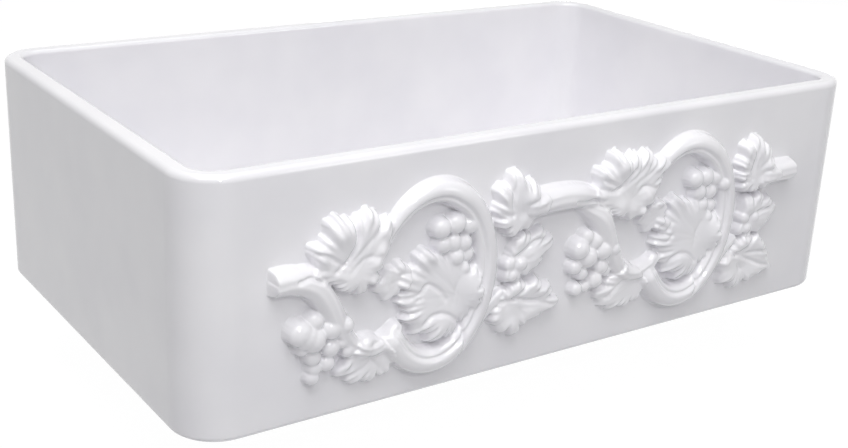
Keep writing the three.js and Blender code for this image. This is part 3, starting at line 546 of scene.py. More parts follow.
# cracks along the old wood: a close-up, the depth in millimetres and the pixels on the way
stemCracks = {
    "scroll_left": ("leftFoot", 3, [(745, 520), (730, 700), (737, 850), (690, 985)]),
    "scroll_right": ("rightFoot", 3, [(530, 420), (490, 600), (465, 760), (415, 880)]),
    "branch_left": ("left", 4, [(270, 710), (350, 690), (430, 715), (510, 690)]),
    "branch_middle": ("middle", 4, [(840, 410), (930, 410), (1010, 400), (1080, 430), (1160, 420)]),
}
# the ends that were sawn off: the first or last place of a stem's run
sawnEnds = {"branch_left": "first", "stub_right": "last"}

acrossLine = np.arange(panel["left"], panel["right"], panel["step"])
upLine = np.arange(panel["low"], panel["high"], panel["step"])
across, up = np.meshgrid(acrossLine, upLine, indexing="ij")
relief = np.zeros_like(across)  # height above the apron
owner = np.full(across.shape, -1)
names = []


def smoothShare(t):
    t = np.clip(t, 0, 1)
    return t * t * (3 - 2 * t)


def hump(far, width):
    # one in the middle, gone softly beyond the width
    return np.exp(-(far / width) ** 2)


def window(lowX, highX, lowZ, highZ):
    # the part of the grid inside a box, with two cells to spare
    i = np.searchsorted(acrossLine, (lowX, highX))
    j = np.searchsorted(upLine, (lowZ, highZ))
    return slice(max(i[0] - 2, 0), i[1] + 2), slice(max(j[0] - 2, 0), j[1] + 2)


def viewAxes():
    # the camera's right, up and back, and where it stands in millimetres
    azimuth, elevation, roll = view["azimuth"], view["elevation"], view["roll"]
    back = Vector((math.sin(azimuth) * math.cos(elevation), -math.cos(azimuth) * math.cos(elevation),
                   math.sin(elevation)))
    level = (-back).cross(Vector((0, 0, 1))).normalized()
    above = level.cross(-back)
    turnedRight = level * math.cos(roll) + above * math.sin(roll)
    turnedUp = above * math.cos(roll) - level * math.sin(roll)
    return turnedRight, turnedUp, back, Vector(view["target"]) + back * view["distance"]


def onVine(closeUp, x, y):
    # where a pixel of a close-up lies, across and up, and how many of its pixels make a millimetre there,
    # as the mean of both ways, since the apron is seen at a slant
    left, top, enlarged = closeUps[closeUp]
    right, above, back, eye = viewAxes()
    sideways = (left + x / enlarged - view["frameWidth"] / 2) / view["focal"]
    downwards = (top + y / enlarged - view["frameHeight"] / 2) / view["focal"]
    ray = right * sideways - above * downwards - back
    far = (-panel["face"] - readAt - eye.y) / ray.y
    spot = eye + ray * far
    return spot.x, spot.z, enlarged * view["focal"] * math.sqrt(ray.y) / far


def alongVine(closeUp, pixels):
    return [onVine(closeUp, x, y)[:2] for x, y in pixels]


def blurred(field, size):
    # a soft blur, as thick glaze rounds what it covers; its weights are nothing beyond three sizes
    reach = int(3 * size) + 1
    weights = np.exp(-0.5 * (np.arange(-reach, reach + 1) / size) ** 2)
    weights /= weights.sum()
    for axis in (0, 1):
        padded = np.pad(field, [(reach, reach) if a == axis else (0, 0) for a in (0, 1)])
        field = sum(w * np.take(padded, range(k, k + field.shape[axis]), axis=axis)
                    for k, w in enumerate(weights))
    return field


def addHeight(name, area, height, melt):
    # lays a piece over what is there; where they meet, the glaze fills the corner over a height of melt
    under = relief[area]
    if name not in names:
        names.append(name)
    near = np.clip(melt - np.abs(height - under), 0, None) ** 2 / (4 * melt)
    filled = near * np.clip(np.minimum(height, under) / melt, 0, 1)
    shows = height > under
    relief[area] = np.where(shows, height, under) + np.where(height > 0, filled, 0)
    owner[area] = np.where(shows, names.index(name), owner[area])


def curveThrough(places, perSpan=10):
    # a smooth run through the places, with their width
    p = np.array(places, float)
    p = np.vstack([2 * p[0] - p[1], p, 2 * p[-1] - p[-2]])
    run = []
    for k in range(1, len(p) - 2):
        a, b, c, d = p[k - 1:k + 3]
        for t in np.arange(perSpan) / perSpan:
            run.append(0.5 * (2 * b + (c - a) * t + (2 * a - 5 * b + 4 * c - d) * t * t
                              + (3 * b - a - 3 * c + d) * t ** 3))
    run.append(p[-2])
    return np.array(run)


def crease(x, z, depth, places, width, perSpan=4, leastShare=0.12):
    # a line pressed in along a smooth run of places, shallower towards its ends
    run = curveThrough([(a, b, 0) for a, b in places], perSpan)[:, :2]
    change = np.zeros_like(x)
    for k in range(len(run) - 1):
        (ax, az), (dx, dz) = run[k], run[k + 1] - run[k]
        share = np.clip(((x - ax) * dx + (z - az) * dz) / (dx * dx + dz * dz), 0, 1)
        far = np.hypot(x - ax - dx * share, z - az - dz * share)
        along = min(max((k + 0.5) / (len(run) - 1), leastShare), 1 - leastShare)
        change = np.maximum(change, math.sin(math.pi * along) ** 0.5 * hump(far, width))
    return depth * change


def addStem(name, run, grooveDepth, lip=0.0):
    # finds the nearest place of the run for every point of the grid, and rounds the stem over it
    v = stemCut
    low, high = run.min(axis=0) - run[:, 2].max(), run.max(axis=0) + run[:, 2].max()
    area = window(low[0], high[0], low[1], high[1])
    x, z = across[area], up[area]
    best = np.full(x.shape, np.inf)  # distance from the middle, as a share of the half width
    side, width, along = np.zeros((3, *x.shape))
    travelled = 0.0
    last = len(run) - 2
    for k in range(last + 1):
        a, b = run[k], run[k + 1]
        d = b[:2] - a[:2]
        length = np.hypot(*d)
        share = ((x - a[0]) * d[0] + (z - a[1]) * d[1]) / length ** 2
        lowEnd, highEnd = -v["pastPlace"], 1 + v["pastPlace"]
        if k == 0:  # an end that isn't sawn is rounded off
            lowEnd = -v["pastSawnEnd"] if sawnEnds.get(name) == "first" else -math.inf
        if k == last:
            highEnd = 1 + v["pastSawnEnd"] if sawnEnds.get(name) == "last" else math.inf
        t = np.clip(share, 0, 1)
        off = ((x - a[0]) * d[1] - (z - a[1]) * d[0]) / length
        far = np.hypot(x - a[0] - d[0] * t, z - a[1] - d[1] * t)
        wide = a[2] + (b[2] - a[2]) * t
        nearer = (share > lowEnd) & (share < highEnd) & (far / (wide / 2) < best)
        best = np.where(nearer, far / (wide / 2), best)
        side = np.where(nearer, off / (wide / 2), side)
        width = np.where(nearer, wide, width)
        along = np.where(nearer, travelled + t * length, along)
        travelled += length
    inside = best < 1
    height = v["rise"] * width * np.clip(1 - np.clip(best, 0, 1) ** 2, 0, 1) ** v["fullness"]
    # shallow grooves run along the stem, and a scroll has a rolled inner lip
    swayed = side * v["grooves"] + v["sway"] * np.sin(along / v["swayLength"])
    height -= grooveDepth * (0.5 + 0.5 * np.cos(swayed)) * inside
    height -= lip * hump(side - scroll["lipAt"], scroll["lipWidth"]) * inside
    addHeight(name, area, np.where(inside, height, 0), v["melt"])


def drapedOver(area, height, detail, kinds):
    # a leaf that lies on other pieces follows them, with its own folds
    v = leafCut
    counted = np.zeros(height.shape, bool)
    for number, name in enumerate(names):
        if name.startswith(kinds):
            counted |= owner[area] == number
    under = np.where(counted, relief[area], 0)
    ground = np.maximum(under, blurred(under, v["drapeSoft"] / panel["step"]))
    draped = (ground + v["drapeThick"] + detail * v["drapeDetail"]) * np.clip(height / v["edgeFade"], 0, 1)
    return np.where(height > 0, np.maximum(height, draped), 0)


def leafShape(lobes, r, angle):
    # round a leaf: how far out its edge lies, its valleys, its veins and the teeth of its edge
    v = leafCut
    order = sorted((a % 360, length) for a, length in lobes)
    longest = max(length for _, length in order)
    edge = np.ones_like(r)
    valley, veins, teeth = np.zeros((3, *r.shape))
    for k, (a, length) in enumerate(order):
        b, nextLength = order[(k + 1) % len(order)]
        gap = (b - a) % 360
        t = ((angle - a) % 360) / gap
        here = t < 1
        saw = -np.cos(t * 2 * np.pi * max(1, round(gap * length / v["toothSize"])))
        notch = v["notch"] + v["notchSpread"] * gap / 180
        notch *= np.sin(np.pi * np.clip(t, 0, 1)) ** v["bluntness"]
        between = length + (nextLength - length) * smoothShare(t)
        edge = np.where(here, between * (1 - notch) * (1 + v["toothDepth"] * saw), edge)
        teeth = np.where(here, saw, teeth)
        deep = min(1.0, max(v["shallowest"], (gap - v["narrowGap"]) / v["gapRange"]))
        valley = np.where(here, deep * hump(t - 0.5, v["valleyWidth"]), valley)
        turn = np.radians((angle - a + 180) % 360 - 180)
        aside = r * np.sin(np.clip(turn, -v["veinSector"], v["veinSector"]))
        aside += v["veinSway"] * r * np.sin(r / v["veinSwayLength"])
        strong = smoothShare((length / longest - v["longLobe"]) / v["longRange"])
        vein = strong * hump(aside, v["veinWidth"]) * (np.abs(turn) < v["veinSector"])
        veins = np.maximum(veins, vein)
    return edge, valley, veins, teeth


def slowWave(at, x, z):
    # two waves, the second half as high; each leaf's start elsewhere, so that no two roll alike
    v = leafCut
    start = at[0] * v["waveStart"][0] + at[1] * v["waveStart"][1]
    first, second, third = v["waveLengths"]
    return np.sin(x / first + start) * np.cos(z / second - start) + 0.5 * np.sin((x + z) / third + 2 * start)


def addLeaf(name, at, crown, closeUp, lobes, swells, folds, over=everyKind):
    # a leaf with its valleys, veins and frill, then its own swells and folds, laid over what it rests on
    v = leafCut
    reach = max(length for _, length in lobes) + v["margin"]
    area = window(at[0] - reach, at[0] + reach, at[1] - reach, at[1] + reach)
    x, z = across[area] - at[0], up[area] - at[1]
    r = np.hypot(x, z)
    edge, valley, veins, teeth = leafShape(lobes, r, np.degrees(np.arctan2(z, x)) % 360)
    out = r / edge
    fall = np.clip((out - v["shoulder"]) / (1 - v["shoulder"]), 0, 1)
    rise = v["dip"] + (1 - v["dip"]) * smoothShare(out / v["shoulder"])
    plain = crown * rise - (crown - v["edgeHeight"]) * (1 - np.sqrt(1 - fall ** 2))
    valley *= smoothShare((out - v["valleyStart"]) / v["valleyOver"]) * (1 - v["valleyFade"] * fall)
    height = plain * (1 - v["valley"] * valley)
    height -= v["veinDepth"] * veins * np.clip(1 - out, 0, 1) ** 0.5 * smoothShare(r / v["veinStart"])
    teeth *= smoothShare((out - v["frillStart"]) / v["frillOver"]) * (1 - v["frillFade"] * fall)
    height += v["frill"] * teeth
    kept = 1 - v["edgeFlat"] * fall ** 2
    for pixelX, pixelY, pixelRadius, lift in swells:
        x0, z0, pixelsPerMm = onVine(closeUp, pixelX, pixelY)
        far = np.hypot(across[area] - x0, up[area] - z0) * pixelsPerMm / pixelRadius
        height += lift * np.exp(-v["swellFall"] * far ** 2) * kept
    for depth, pixels in folds:
        height -= crease(across[area], up[area], depth, alongVine(closeUp, pixels), v["foldWidth"]) * kept
    height += v["wave"] * slowWave(at, x, z) * smoothShare(out * v["waveRise"]) * (1 - fall)
    height = np.where(out < 1, np.maximum(height, v["leastHeight"]), 0)
    addHeight(name, area, drapedOver(area, height, height - plain, over), v["melt"])


def addBerry(name, x0, z0, radius, ground):
    # a berry lies on the leaf below it
    area = window(x0 - radius, x0 + radius, z0 - radius, z0 + radius)
    d = np.hypot(across[area] - x0, up[area] - z0) / radius
    below = ground[np.searchsorted(acrossLine, x0), np.searchsorted(upLine, z0)]
    seat = max(radius * berryCut["rise"], below * berryCut["seat"])
    height = seat + radius * berryCut["round"] * np.sqrt(np.clip(1 - d ** 2, 0, 1))
    addHeight(name, area, np.where(d < 1, height, 0), berryCut["melt"])


def scrollRun(centre):
    # the run of a scroll round its leaning oval, from its thin tip
    s = scroll
    run = []
    lean = math.radians(s["lean"])
    for i in range(s["steps"] + 1):
        share = i / s["steps"]
        angle = math.radians(s["start"] + (s["end"] - s["start"]) * share)
        width = s["tip"] + (s["width"] - s["tip"]) * min(share / s["taper"], 1)
        a, u = (s["across"] - width / 2) * math.cos(angle), (s["up"] - width / 2) * math.sin(angle)
        run.append((centre[0] + a * math.cos(lean) + u * math.sin(lean),
                    centre[1] - a * math.sin(lean) + u * math.cos(lean), width))
    return np.array(run)


leftCentre = scroll["centre"]
rightCentre = (leftCentre[0] + scroll["pitch"], leftCentre[1] + scroll["lift"])
for name, centre in (("scroll_left", leftCentre), ("scroll_right", rightCentre)):
    addStem(name, scrollRun(centre), scroll["grooveDepth"], scroll["lip"])
for name, arms in stems.items():
    for arm in arms:
        addStem(name, curveThrough(arm), stemCut["twigDepth" if name.startswith("twig") else "barkDepth"])
for name, (closeUp, depth, pixels) in stemCracks.items():
    crack = crease(across, up, depth, alongVine(closeUp, pixels), stemCut["crackWidth"])
    relief -= crack * (owner == names.index(name))
for name, leaf in leaves.items():
    addLeaf(name, **leaf)
leafGround = blurred(relief, leafCut["drapeSoft"] / panel["step"])
for name, berries in grapes.items():
    for berry in berries:
        addBerry(name, *berry, leafGround)

relief = blurred(relief, panel["soften"] / panel["step"])
for _ in range(panel["footCells"]):  # the foot's soft edge goes to the nearest piece
    for axis, shift in ((0, 1), (0, -1), (1, 1), (1, -1)):
        owner = np.where(owner < 0, np.roll(owner, shift, axis=axis), owner)
slopeX, slopeZ = np.gradient(relief, panel["step"])
facing = np.stack([-slopeX, -np.ones_like(relief), -slopeZ], axis=-1)
facing /= np.linalg.norm(facing, axis=-1, keepdims=True)
surface = np.stack([across, -panel["face"] - relief + panel["sink"], up], axis=-1) * mm
index = np.arange(relief.size).reshape(relief.shape)
corners = np.stack([index[:-1, :-1], index[1:, :-1], index[1:, 1:], index[:-1, 1:]], axis=-1)
tallest = relief.ravel()[corners].max(axis=-1)


def vinePiece(number, name):
    # the cells that the piece owns, with the whole panel's normals so that no seam shows
    cells = corners[(owner[:-1, :-1] == number) & (tallest > panel["leastHeight"])]
    used, local = np.unique(cells.ravel(), return_inverse=True)
    obj = smoothed(meshObject(name + "_relief", surface.reshape(-1, 3)[used], local.reshape(-1, 4), glaze))
    obj.data.normals_split_custom_set_from_vertices(facing.reshape(-1, 3)[used])
    place(obj, "sink", name)


for number, name in enumerate(names):
    vinePiece(number, name)
print("grapevine made,", len(names), "pieces")

# The strainer, turned about the outlet's axis. Heights are above the sink's underside.
strainer = {
    "flange": 56.8, "flangeFoot": 20.3, "flangeThick": 3, "land": 7, "dish": 6, "dishFaces": 7, "cup": 43,
    "cupWall": 1.8, "cupFloor": -28.7, "cupFoot": -31.3, "chamfer": 7, "bow": 2,
    "spigot": 24, "spigotBore": 19, "spigotEnd": -53.3, "boreRound": 1, "faces": 96,
    # the flange's edge, as steps in from its side and down from its top
    "flangeEdge": [(0, 1.8), (1, 0.7), (3, 0)],
    # the root of a thread lies between two shares of its pitch; a plain neck is left above it
    "threadPitch": 2, "threadDepth": 0.7, "threadRoot": (0.4, 0.6), "threadEnd": 1, "neck": 3,
    "neckDepth": 0.5}
weldGap = 1e-6  # metres


def turned(name, profile, material, faces=strainer["faces"]):
    # a closed profile of [radius, height], turned about the outlet's axis
    turn = evenTurn(faces)
    points, quads = loft([ringAbout(radius, turn, z) for radius, z in profile])
    obj = meshObject(name, points, quads, material)
    mended = bmesh.new()
    mended.from_mesh(obj.data)
    bmesh.ops.remove_doubles(mended, verts=mended.verts, dist=weldGap)
    bmesh.ops.dissolve_degenerate(mended, edges=mended.edges, dist=weldGap / 10)
    bmesh.ops.recalc_face_normals(mended, faces=mended.faces)
    mended.to_mesh(obj.data)
    mended.free()
    return obj


def threadLine(radius, foot, top):
    # the saw line of a thread up a wall, with its crests on the wall's radius
    s = strainer
    line = []
    for k in range(int((top - foot) / s["threadPitch"])):
        crest = top - k * s["threadPitch"]
        line.append((radius, crest))
        line += [(radius - s["threadDepth"], crest - share * s["threadPitch"]) for share in s["threadRoot"]]
    return line[::-1]


def makeStrainerBody():
    s = strainer
    top, chamfer, bow = s["flangeFoot"] + s["flangeThick"], s["chamfer"], s["bow"]
    cupIn, spigotRoot = s["cup"] - s["cupWall"], s["spigot"] - s["threadDepth"]
    profile = [(s["flange"], s["flangeFoot"])]
    profile += [(s["flange"] - inwards, top - down) for inwards, down in s["flangeEdge"]]
    lip = profile[-1][0] - s["land"]
    profile += [(lip - (lip - cupIn) * math.sin(a), top - s["dish"] * (1 - math.cos(a)))
                for a in np.linspace(0, math.pi / 2, s["dishFaces"] + 1)]
    profile += [(cupIn, s["cupFloor"] + chamfer), (cupIn - bow, s["cupFloor"] + bow),
                (cupIn - chamfer, s["cupFloor"]), (s["spigotBore"] + s["boreRound"], s["cupFloor"]),
                (s["spigotBore"], s["cupFloor"] - s["boreRound"]), (s["spigotBore"], s["spigotEnd"]),
                (spigotRoot, s["spigotEnd"])]
    profile += threadLine(s["spigot"], s["spigotEnd"] + s["threadEnd"], s["cupFoot"] - s["neck"])
    profile += [(spigotRoot, s["cupFoot"]), (s["cup"] - chamfer, s["cupFoot"]),
                (s["cup"] - bow, s["cupFoot"] + bow), (s["cup"] - s["neckDepth"], s["cupFoot"] + chamfer)]
    profile += threadLine(s["cup"], s["cupFoot"] + chamfer + s["threadEnd"], s["flangeFoot"] - s["neck"])
    profile.append((s["cup"] - s["neckDepth"], s["flangeFoot"]))
    return softenEdges(turned("strainer_cup_and_flange", profile, steel), 0)


place(makeStrainerBody(), "sink", "strainer_body")

# a ring's node, material and slot, its inner and outer radius, its foot and top, and its rounding
flatRings = {
    "seal_ring": ("sealing_gasket", rubber, "rubber", 43.3, 54.3, -2.3, 2.7, 0.8),
    "slip_ring": ("friction_ring", fibre, "fibre", 43.3, 54.3, -3.8, -2.6, 0.15),
    "tail_washer": ("tailpiece_washer", nylon, "nylon", 19, 24, -55.6, -53.6, 0.3),
}
for name, (node, material, slotName, inner, outer, foot, top, soft) in flatRings.items():
    ring = turned(name, [(inner, foot), (outer, foot), (outer, top), (inner, top)], material)
    place(softenEdges(ring, soft), "sink", node)

tailTube = {
    "radius": 19.05, "wall": 1.2, "top": -55.9, "length": 54, "flange": 24, "flangeThick": 2, "round": 1,
    "soft": 0.25}


def makeTailTube():
    t = tailTube
    outer, bore, top = t["radius"], t["radius"] - t["wall"], t["top"]
    foot, under = top - t["length"], top - t["flangeThick"]
    tube = turned("drain_tailpiece", [
        (bore, foot), (outer, foot), (outer, under - t["round"]), (outer + t["round"], under),
        (t["flange"], under), (t["flange"], top), (bore + t["round"], top), (bore, top - t["round"])], brass)
    return softenEdges(tube, t["soft"])


place(makeTailTube(), "sink", "tailpiece")


def newTree(name, sockets):
    # a Geometry Nodes tree with named inputs
    tree = bpy.data.node_groups.new(name, "GeometryNodeTree")
    tree.interface.new_socket("Geometry", in_out="INPUT", socket_type="NodeSocketGeometry")
    tree.interface.new_socket("Geometry", in_out="OUTPUT", socket_type="NodeSocketGeometry")
    for label, kind in sockets.items():
        tree.interface.new_socket(label, in_out="INPUT", socket_type="NodeSocket" + kind)
    return tree, addNode(tree, "NodeGroupInput").outputs


def endTree(tree, geometry, material):
    # every tree ends alike: it realises its instances and sets the material
    real = addNode(tree, "GeometryNodeRealizeInstances", inputs={"Geometry": geometry})
    painted = addNode(tree, "GeometryNodeSetMaterial", inputs={
        "Geometry": real.outputs["Geometry"], "Material": material})
    addNode(tree, "NodeGroupOutput", inputs={"Geometry": painted.outputs["Geometry"]})
    return tree


def runTree(obj, tree, values):
    modifier = obj.modifiers.new("repeat", "NODES")
    modifier.node_group = tree
    for item in tree.interface.items_tree:
        if item.in_out == "INPUT" and item.name in values:
            modifier[item.identifier] = values[item.name]


def roundCircleTree():
    # the same block set round a circle, beside the mesh that comes in
    tree, given = newTree("blocksRoundCircle", {
        "Count": "Int", "Radius": "Float", "Size": "Vector", "Centre": "Vector", "Material": "Material"})
    circle = addNode(tree, "GeometryNodeMeshCircle", inputs={
        "Vertices": given["Count"], "Radius": given["Radius"]})
    block = addNode(tree, "GeometryNodeMeshCube", inputs={"Size": given["Size"]})
    position = addNode(tree, "GeometryNodeInputPosition")
    turn = addNode(tree, "FunctionNodeAlignRotationToVector", {"axis": "X"},
                   {"Vector": position.outputs["Position"]})
    blocks = addNode(tree, "GeometryNodeInstanceOnPoints", inputs={
        "Points": circle.outputs["Mesh"], "Instance": block.outputs["Mesh"],
        "Rotation": turn.outputs["Rotation"]})
    moved = addNode(tree, "GeometryNodeTransform", inputs={
        "Geometry": blocks.outputs["Instances"], "Translation": given["Centre"]})
    join = addNode(tree, "GeometryNodeJoinGeometry")
    tree.links.new(moved.outputs["Geometry"], join.inputs["Geometry"])
    tree.links.new(given["Geometry"], join.inputs["Geometry"])
    return endTree(tree, join.outputs["Geometry"], given["Material"])


locknut = {
    "inner": 43.3, "wall": 8, "top": -4.1, "height": 12, "rim": 1.5, "rimThick": 2, "rimSlope": 1,
    "lugs": 4, "lugReach": 5, "lugWidth": 12, "lugRoot": 4, "lugShorter": 1.2, "soft": 0.6}


def makeLocknut():
    n = locknut
    outer, foot, top = n["inner"] + n["wall"], n["top"] - n["height"], n["top"]
    lug = (n["lugReach"] + n["lugRoot"], n["lugWidth"], n["height"] - n["lugShorter"])
    nut = turned("drain_locknut", [
        (n["inner"], foot), (outer, foot), (outer, top - n["rimThick"] - n["rimSlope"]),
        (outer + n["rim"], top - n["rimThick"]), (outer + n["rim"], top), (n["inner"], top)], zinc)
    runTree(nut, roundCircleTree(), {
        "Count": n["lugs"], "Radius": (outer + (n["lugReach"] - n["lugRoot"]) / 2) * mm,
        "Size": [side * mm for side in lug],
        "Centre": (0, outletAxis * mm, (foot + n["height"] / 2) * mm), "Material": zinc})
    return softenEdges(baked(nut), n["soft"])


place(makeLocknut(), "sink", "locknut")


def hexagonNut(name, nut, inside, material):
    # a hexagon outside with its corners rounded off at both ends, and turned inside
    turn = evenTurn(nut["faces"])
    hexagon = hexagonRadius(nut["flats"], turn)
    cut = np.minimum(hexagon, nut["flats"] + nut["cornerLeft"])
    low, high = nut["foot"] + nut["cornerHigh"], nut["top"] - nut["cornerHigh"]
    outside = [(cut, nut["foot"]), (hexagon, low), (hexagon, high), (cut, nut["top"])]
    points, quads = loft([ringAbout(radius, turn, z) for radius, z in outside + inside])
    return softenEdges(meshObject(name, points, quads, material), nut["soft"])


coupling = {
    "flats": 29.3, "foot": -61.2, "top": -39.3, "cornerLeft": 0.6, "cornerHigh": 2, "faces": 96, "soft": 0.35,
    "grip": 24.3, "tail": 19.35, "shelf": -58.2}
hollow = [(coupling["grip"], coupling["top"]), (coupling["grip"], coupling["shelf"]),
          (coupling["tail"], coupling["shelf"]), (coupling["tail"], coupling["foot"])]
place(hexagonNut("coupling_hexagon", coupling, hollow, zinc), "sink", "coupling_nut")

crossBar = {
    "half": 18.5, "width": 5, "height": 4, "top": -37.7, "bore": 5.6, "boss": 8.6, "bossFaces": 14,
    "soft": 0.3}


def makeCrossBar():
    # a boss with an arm to each side, drawn as one outline and given its height
    c = crossBar
    outline = []
    reach = math.asin(c["width"] / 2 / c["boss"])
    for side in (0, math.pi):
        for edge in (-c["width"] / 2, c["width"] / 2):
            outline.append((c["half"] * math.cos(side) - edge * math.sin(side),
                            c["half"] * math.sin(side) + edge * math.cos(side)))
        for k in range(c["bossFaces"] + 1):
            a = side + reach + (math.pi - 2 * reach) * k / c["bossFaces"]
            outline.append((c["boss"] * math.cos(a), c["boss"] * math.sin(a)))
    x, y = np.array(outline).T
    turn, outer, foot = np.arctan2(y, x), np.hypot(x, y), c["top"] - c["height"]
    points, quads = loft([ringAbout(radius, turn, z) for radius, z in (
        (outer, foot), (outer, c["top"]), (c["bore"], c["top"]), (c["bore"], foot))])
    return softenEdges(meshObject("spigot_cross_bar", points, quads, steel), c["soft"])


place(makeCrossBar(), "sink", "cross_bar")
print("strainer made")

# The basket's sheet. A ring is a radius and a height above its foot. The rings of the floor, the wall and the
# rim follow each other, and a row of faces that has holes starts at a ring marked True.
basket = {
    "foot": -24.1, "height": 40, "base": 25.8, "mouth": 37.8, "around": 36, "holeShare": 0.62, "sheet": 0.8,
    "floorRings": [(3.5, 0.5, False), (9, 0.5, False), (15, 0.5, True), (21, 0.5, True), (23.6, 0.6, False),
                   (25.5, 2.2, False)],
    "rows": 5, "wallStart": 0.1, "wallShare": 0.74, "wallInset": 0.5,
    "rimRings": [(37, 37.8, False), (38, 39.4, False), (39.6, 39.5, False)]}


def perforateTree():
    # opens a hole in every face marked "hole": the face is set in, drawn smaller and taken out
    tree, given = newTree("perforate", {"Share": "Float", "Material": "Material"})
    marked = addNode(tree, "GeometryNodeInputNamedAttribute", {"data_type": "BOOLEAN"}, {"Name": "hole"})
    inset = addNode(tree, "GeometryNodeExtrudeMesh", {"mode": "FACES"}, {
        "Mesh": given["Geometry"], "Selection": marked.outputs["Attribute"], "Offset Scale": 0.0,
        "Individual": True})
    drawn = addNode(tree, "GeometryNodeScaleElements", {"domain": "FACE"}, {
        "Geometry": inset.outputs["Mesh"], "Selection": inset.outputs["Top"], "Scale": given["Share"]})
    opened = addNode(tree, "GeometryNodeDeleteGeometry", {"domain": "FACE"}, {
        "Geometry": drawn.outputs["Geometry"], "Selection": inset.outputs["Top"]})
    return endTree(tree, opened.outputs["Geometry"], given["Material"])


def makeBasket():
    b = basket
    count = b["around"]
    line = list(b["floorRings"])
    for k in range(b["rows"] + 1):
        share = b["wallStart"] + b["wallShare"] * k / b["rows"]
        radius = b["base"] + (b["mouth"] - b["base"]) * share - b["wallInset"]
        line.append((radius, b["height"] * share, k < b["rows"]))
    line += b["rimRings"]
    points = np.concatenate([ringAbout(radius, evenTurn(count), b["foot"] + z) for radius, z, _ in line]) * mm
    faces, holes = [], []
    for row, (_, _, perforated) in enumerate(line[:-1]):
        # every second face has a hole, and the floor has some more
        floor = row < len(b["floorRings"])
        for k in range(count):
            low, high, follow = row * count, (row + 1) * count, (k + 1) % count
            faces.append((low + k, low + follow, high + follow, high + k))
            holes.append(perforated and (k % 2 == row % 2 or floor and k % 3 == 0))
    obj = meshObject("basket_sheet", points, faces, steel)
    mark = obj.data.attributes.new("hole", "BOOLEAN", "FACE")
    mark.data.foreach_set("value", holes)
    runTree(obj, perforateTree(), {"Share": b["holeShare"], "Material": steel})
    sheet = obj.modifiers.new("sheet", "SOLIDIFY")
    sheet.thickness = b["sheet"] * mm
    sheet.offset = 0
    smooth = obj.modifiers.new("smooth", "SUBSURF")
    smooth.levels = smooth.render_levels = 2
    return smoothed(baked(obj))


place(makeBasket(), "basket", "basket_cup")

# The pieces turned on the basket's axis: each one's node, material and slot, its faces round, the rounding of
# its edges and its profile as [radius, height].
axisRadius = 0.001  # a profile that closes on the axis stops just short of it
knobTop = {"radius": 8.4, "low": 17.3, "rise": 2, "faces": 6}
knobDome = [(knobTop["radius"] * math.cos(a), knobTop["low"] + knobTop["rise"] * math.sin(a))
            for a in np.linspace(0, math.pi / 2, knobTop["faces"] + 1)]
onAxis = {
    "basket_seal": ("basket_stopper", rubber, "rubber", 96, 0.3, [
        (3.3, -28.4), (23, -28.4), (25.4, -27.9), (27, -26.4), (27, -25.2), (26.2, -24.6), (24, -24.4),
        (3.3, -24.4)]),
    "basket_stem": ("basket_post", steel, "stainless_steel", 40, 0.15, [
        (axisRadius, -43.5), (2.2, -43.5), (3, -42.7), (3, 5.3), (3.4, 5.8), (4.6, 6.7), (4.6, 7.0),
        (axisRadius, 7.0)]),
    "basket_lift_knob": ("basket_knob", steel, "stainless_steel", 64, 0.2, [
        (axisRadius, 7.3), (5, 7.3), (5, 9.5), (5.2, 11), (6.2, 12.6), (8, 13.7), (9, 14.6), (9, 16.4),
        *knobDome, (axisRadius, knobTop["low"] + knobTop["rise"])]),
}
for name, (node, material, slotName, faces, soft, profile) in onAxis.items():
    place(softenEdges(turned(name, profile, material, faces), soft), "basket", node)

stemNut = {
    "flats": 5.5, "foot": -32.7, "top": -28.7, "cornerLeft": 0.15, "cornerHigh": 0.6, "faces": 48,
    "soft": 0.15, "bore": 3.3}
stemHole = [(stemNut["bore"], stemNut["top"]), (stemNut["bore"], stemNut["foot"])]
place(hexagonNut("stem_hexagon", stemNut, stemHole, steel), "basket", "basket_nut")

# the spring clip round the post: a sleeve that bows out at its middle, with a groove inside
clipProfile = [
    (3.3, -42), (4.1, -42), (4.7, -40), (5, -38.3), (5, -36.7), (4.7, -35), (4.1, -33), (3.3, -33),
    (3.3, -36.6), (4.2, -37.5), (3.3, -38.4)]
clip = turned("stem_spring_clip", clipProfile, steel, faces=40)
place(softenEdges(clip, 0.1), "basket", "spring_clip")
print("basket made")

# The stage: its floor is below the tailpiece, and "size" is in metres. The camera, reflections and clear
# parts see a white room, while the light that falls on the sink comes from the lamps and a dim world.
stage = {"floor": -118, "size": 12, "tone": "#c4c4c6", "white": 0.89, "glow": 1.1, "world": 0.14}


def seenShare(tree):
    # one for rays from the camera, from a reflection or through something clear, and nought for the rest
    rays = addNode(tree, "ShaderNodeLightPath").outputs
    seen = rays["Is Camera Ray"]
    for kind in ("Is Glossy Ray", "Is Transmission Ray"):
        either = addNode(tree, "ShaderNodeMath", {"operation": "MAXIMUM"}, {0: seen, 1: rays[kind]})
        seen = either.outputs["Value"]
    return seen


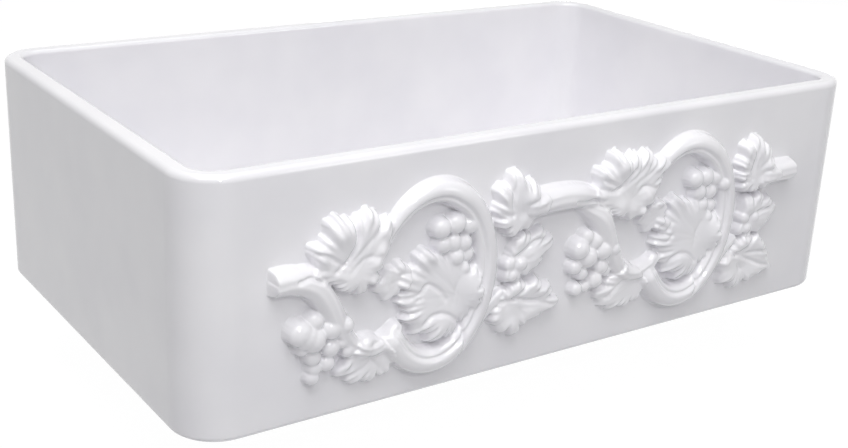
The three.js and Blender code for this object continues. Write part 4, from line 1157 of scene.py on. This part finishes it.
def makeFloor():
    half = stage["size"] / 2
    material = bpy.data.materials.new("pale_floor")
    tree = emptyTree(material)
    matt = addNode(tree, "ShaderNodeBsdfDiffuse", inputs={"Color": linear(stage["tone"])})
    white = addNode(tree, "ShaderNodeEmission", inputs={"Color": (1, 1, 1, 1), "Strength": stage["glow"]})
    share = addNode(tree, "ShaderNodeMath", {"operation": "MULTIPLY"}, {
        0: seenShare(tree), 1: stage["white"]})
    mix = addNode(tree, "ShaderNodeMixShader", inputs={
        "Fac": share.outputs["Value"], 1: matt.outputs["BSDF"], 2: white.outputs["Emission"]})
    addNode(tree, "ShaderNodeOutputMaterial", inputs={"Surface": mix.outputs["Shader"]})
    square = [(x * half, y * half, stage["floor"] * mm) for x, y in ((-1, -1), (1, -1), (1, 1), (-1, 1))]
    meshObject("studio_floor", square, [(0, 1, 2, 3)], material)


def makeWorld():
    scene.world = bpy.data.worlds.new("studio")
    tree = emptyTree(scene.world)
    strength = addNode(tree, "ShaderNodeMapRange", inputs={
        "Value": seenShare(tree), "To Min": stage["world"], "To Max": 1.0})
    light = addNode(tree, "ShaderNodeBackground", inputs={
        "Color": (1, 1, 1, 1), "Strength": strength.outputs["Result"]})
    addNode(tree, "ShaderNodeOutputWorld", inputs={"Surface": light.outputs["Background"]})


# each lamp: where it stands, what it looks at, width and height, and power; metres and watts
lamps = {
    "overhead": ((-0.2, 0.2, 2.2), (0, 0, 0.2), 2.2, 1.5, 11),
    "overFront": ((-0.9, -1.2, 2.6), (0, 0.05, 0.13), 2.4, 1.8, 53),
    "nearCamera": ((-0.75, -2.1, 1.5), (-0.1, -0.2, 0.13), 0.2, 0.2, 9),
    "frontRight": ((1.3, -2.4, 1.2), (0.1, -0.2, 0.13), 0.8, 0.8, 5),
    "behindRight": ((1.9, 1.9, 0.08), (0, 0, 0.08), 1.8, 0.34, 14),
}


def makeLamps():
    for name, (spot, target, width, height, power) in lamps.items():
        light = bpy.data.lights.new(name, "AREA")
        light.shape = "RECTANGLE"
        light.size = width
        light.size_y = height
        light.energy = power
        lamp = bpy.data.objects.new(name, light)
        lamp.location = spot
        lamp.rotation_euler = (Vector(target) - Vector(spot)).to_track_quat("-Z", "Y").to_euler()
        scene.collection.objects.link(lamp)


def makeCamera():
    right, above, back, eye = viewAxes()
    lens = bpy.data.cameras.new("photographView")
    lens.sensor_width = view["sensor"]
    lens.lens = view["focal"] * view["sensor"] / view["frameWidth"]
    lens.clip_end = 100  # metres
    camera = bpy.data.objects.new("photographView", lens)
    turn = Matrix((right, above, back)).transposed().to_4x4()
    camera.matrix_world = Matrix.Translation(eye * mm) @ turn
    scene.collection.objects.link(camera)
    scene.camera = camera


makeFloor()
makeWorld()
makeLamps()
makeCamera()
print("stage made")
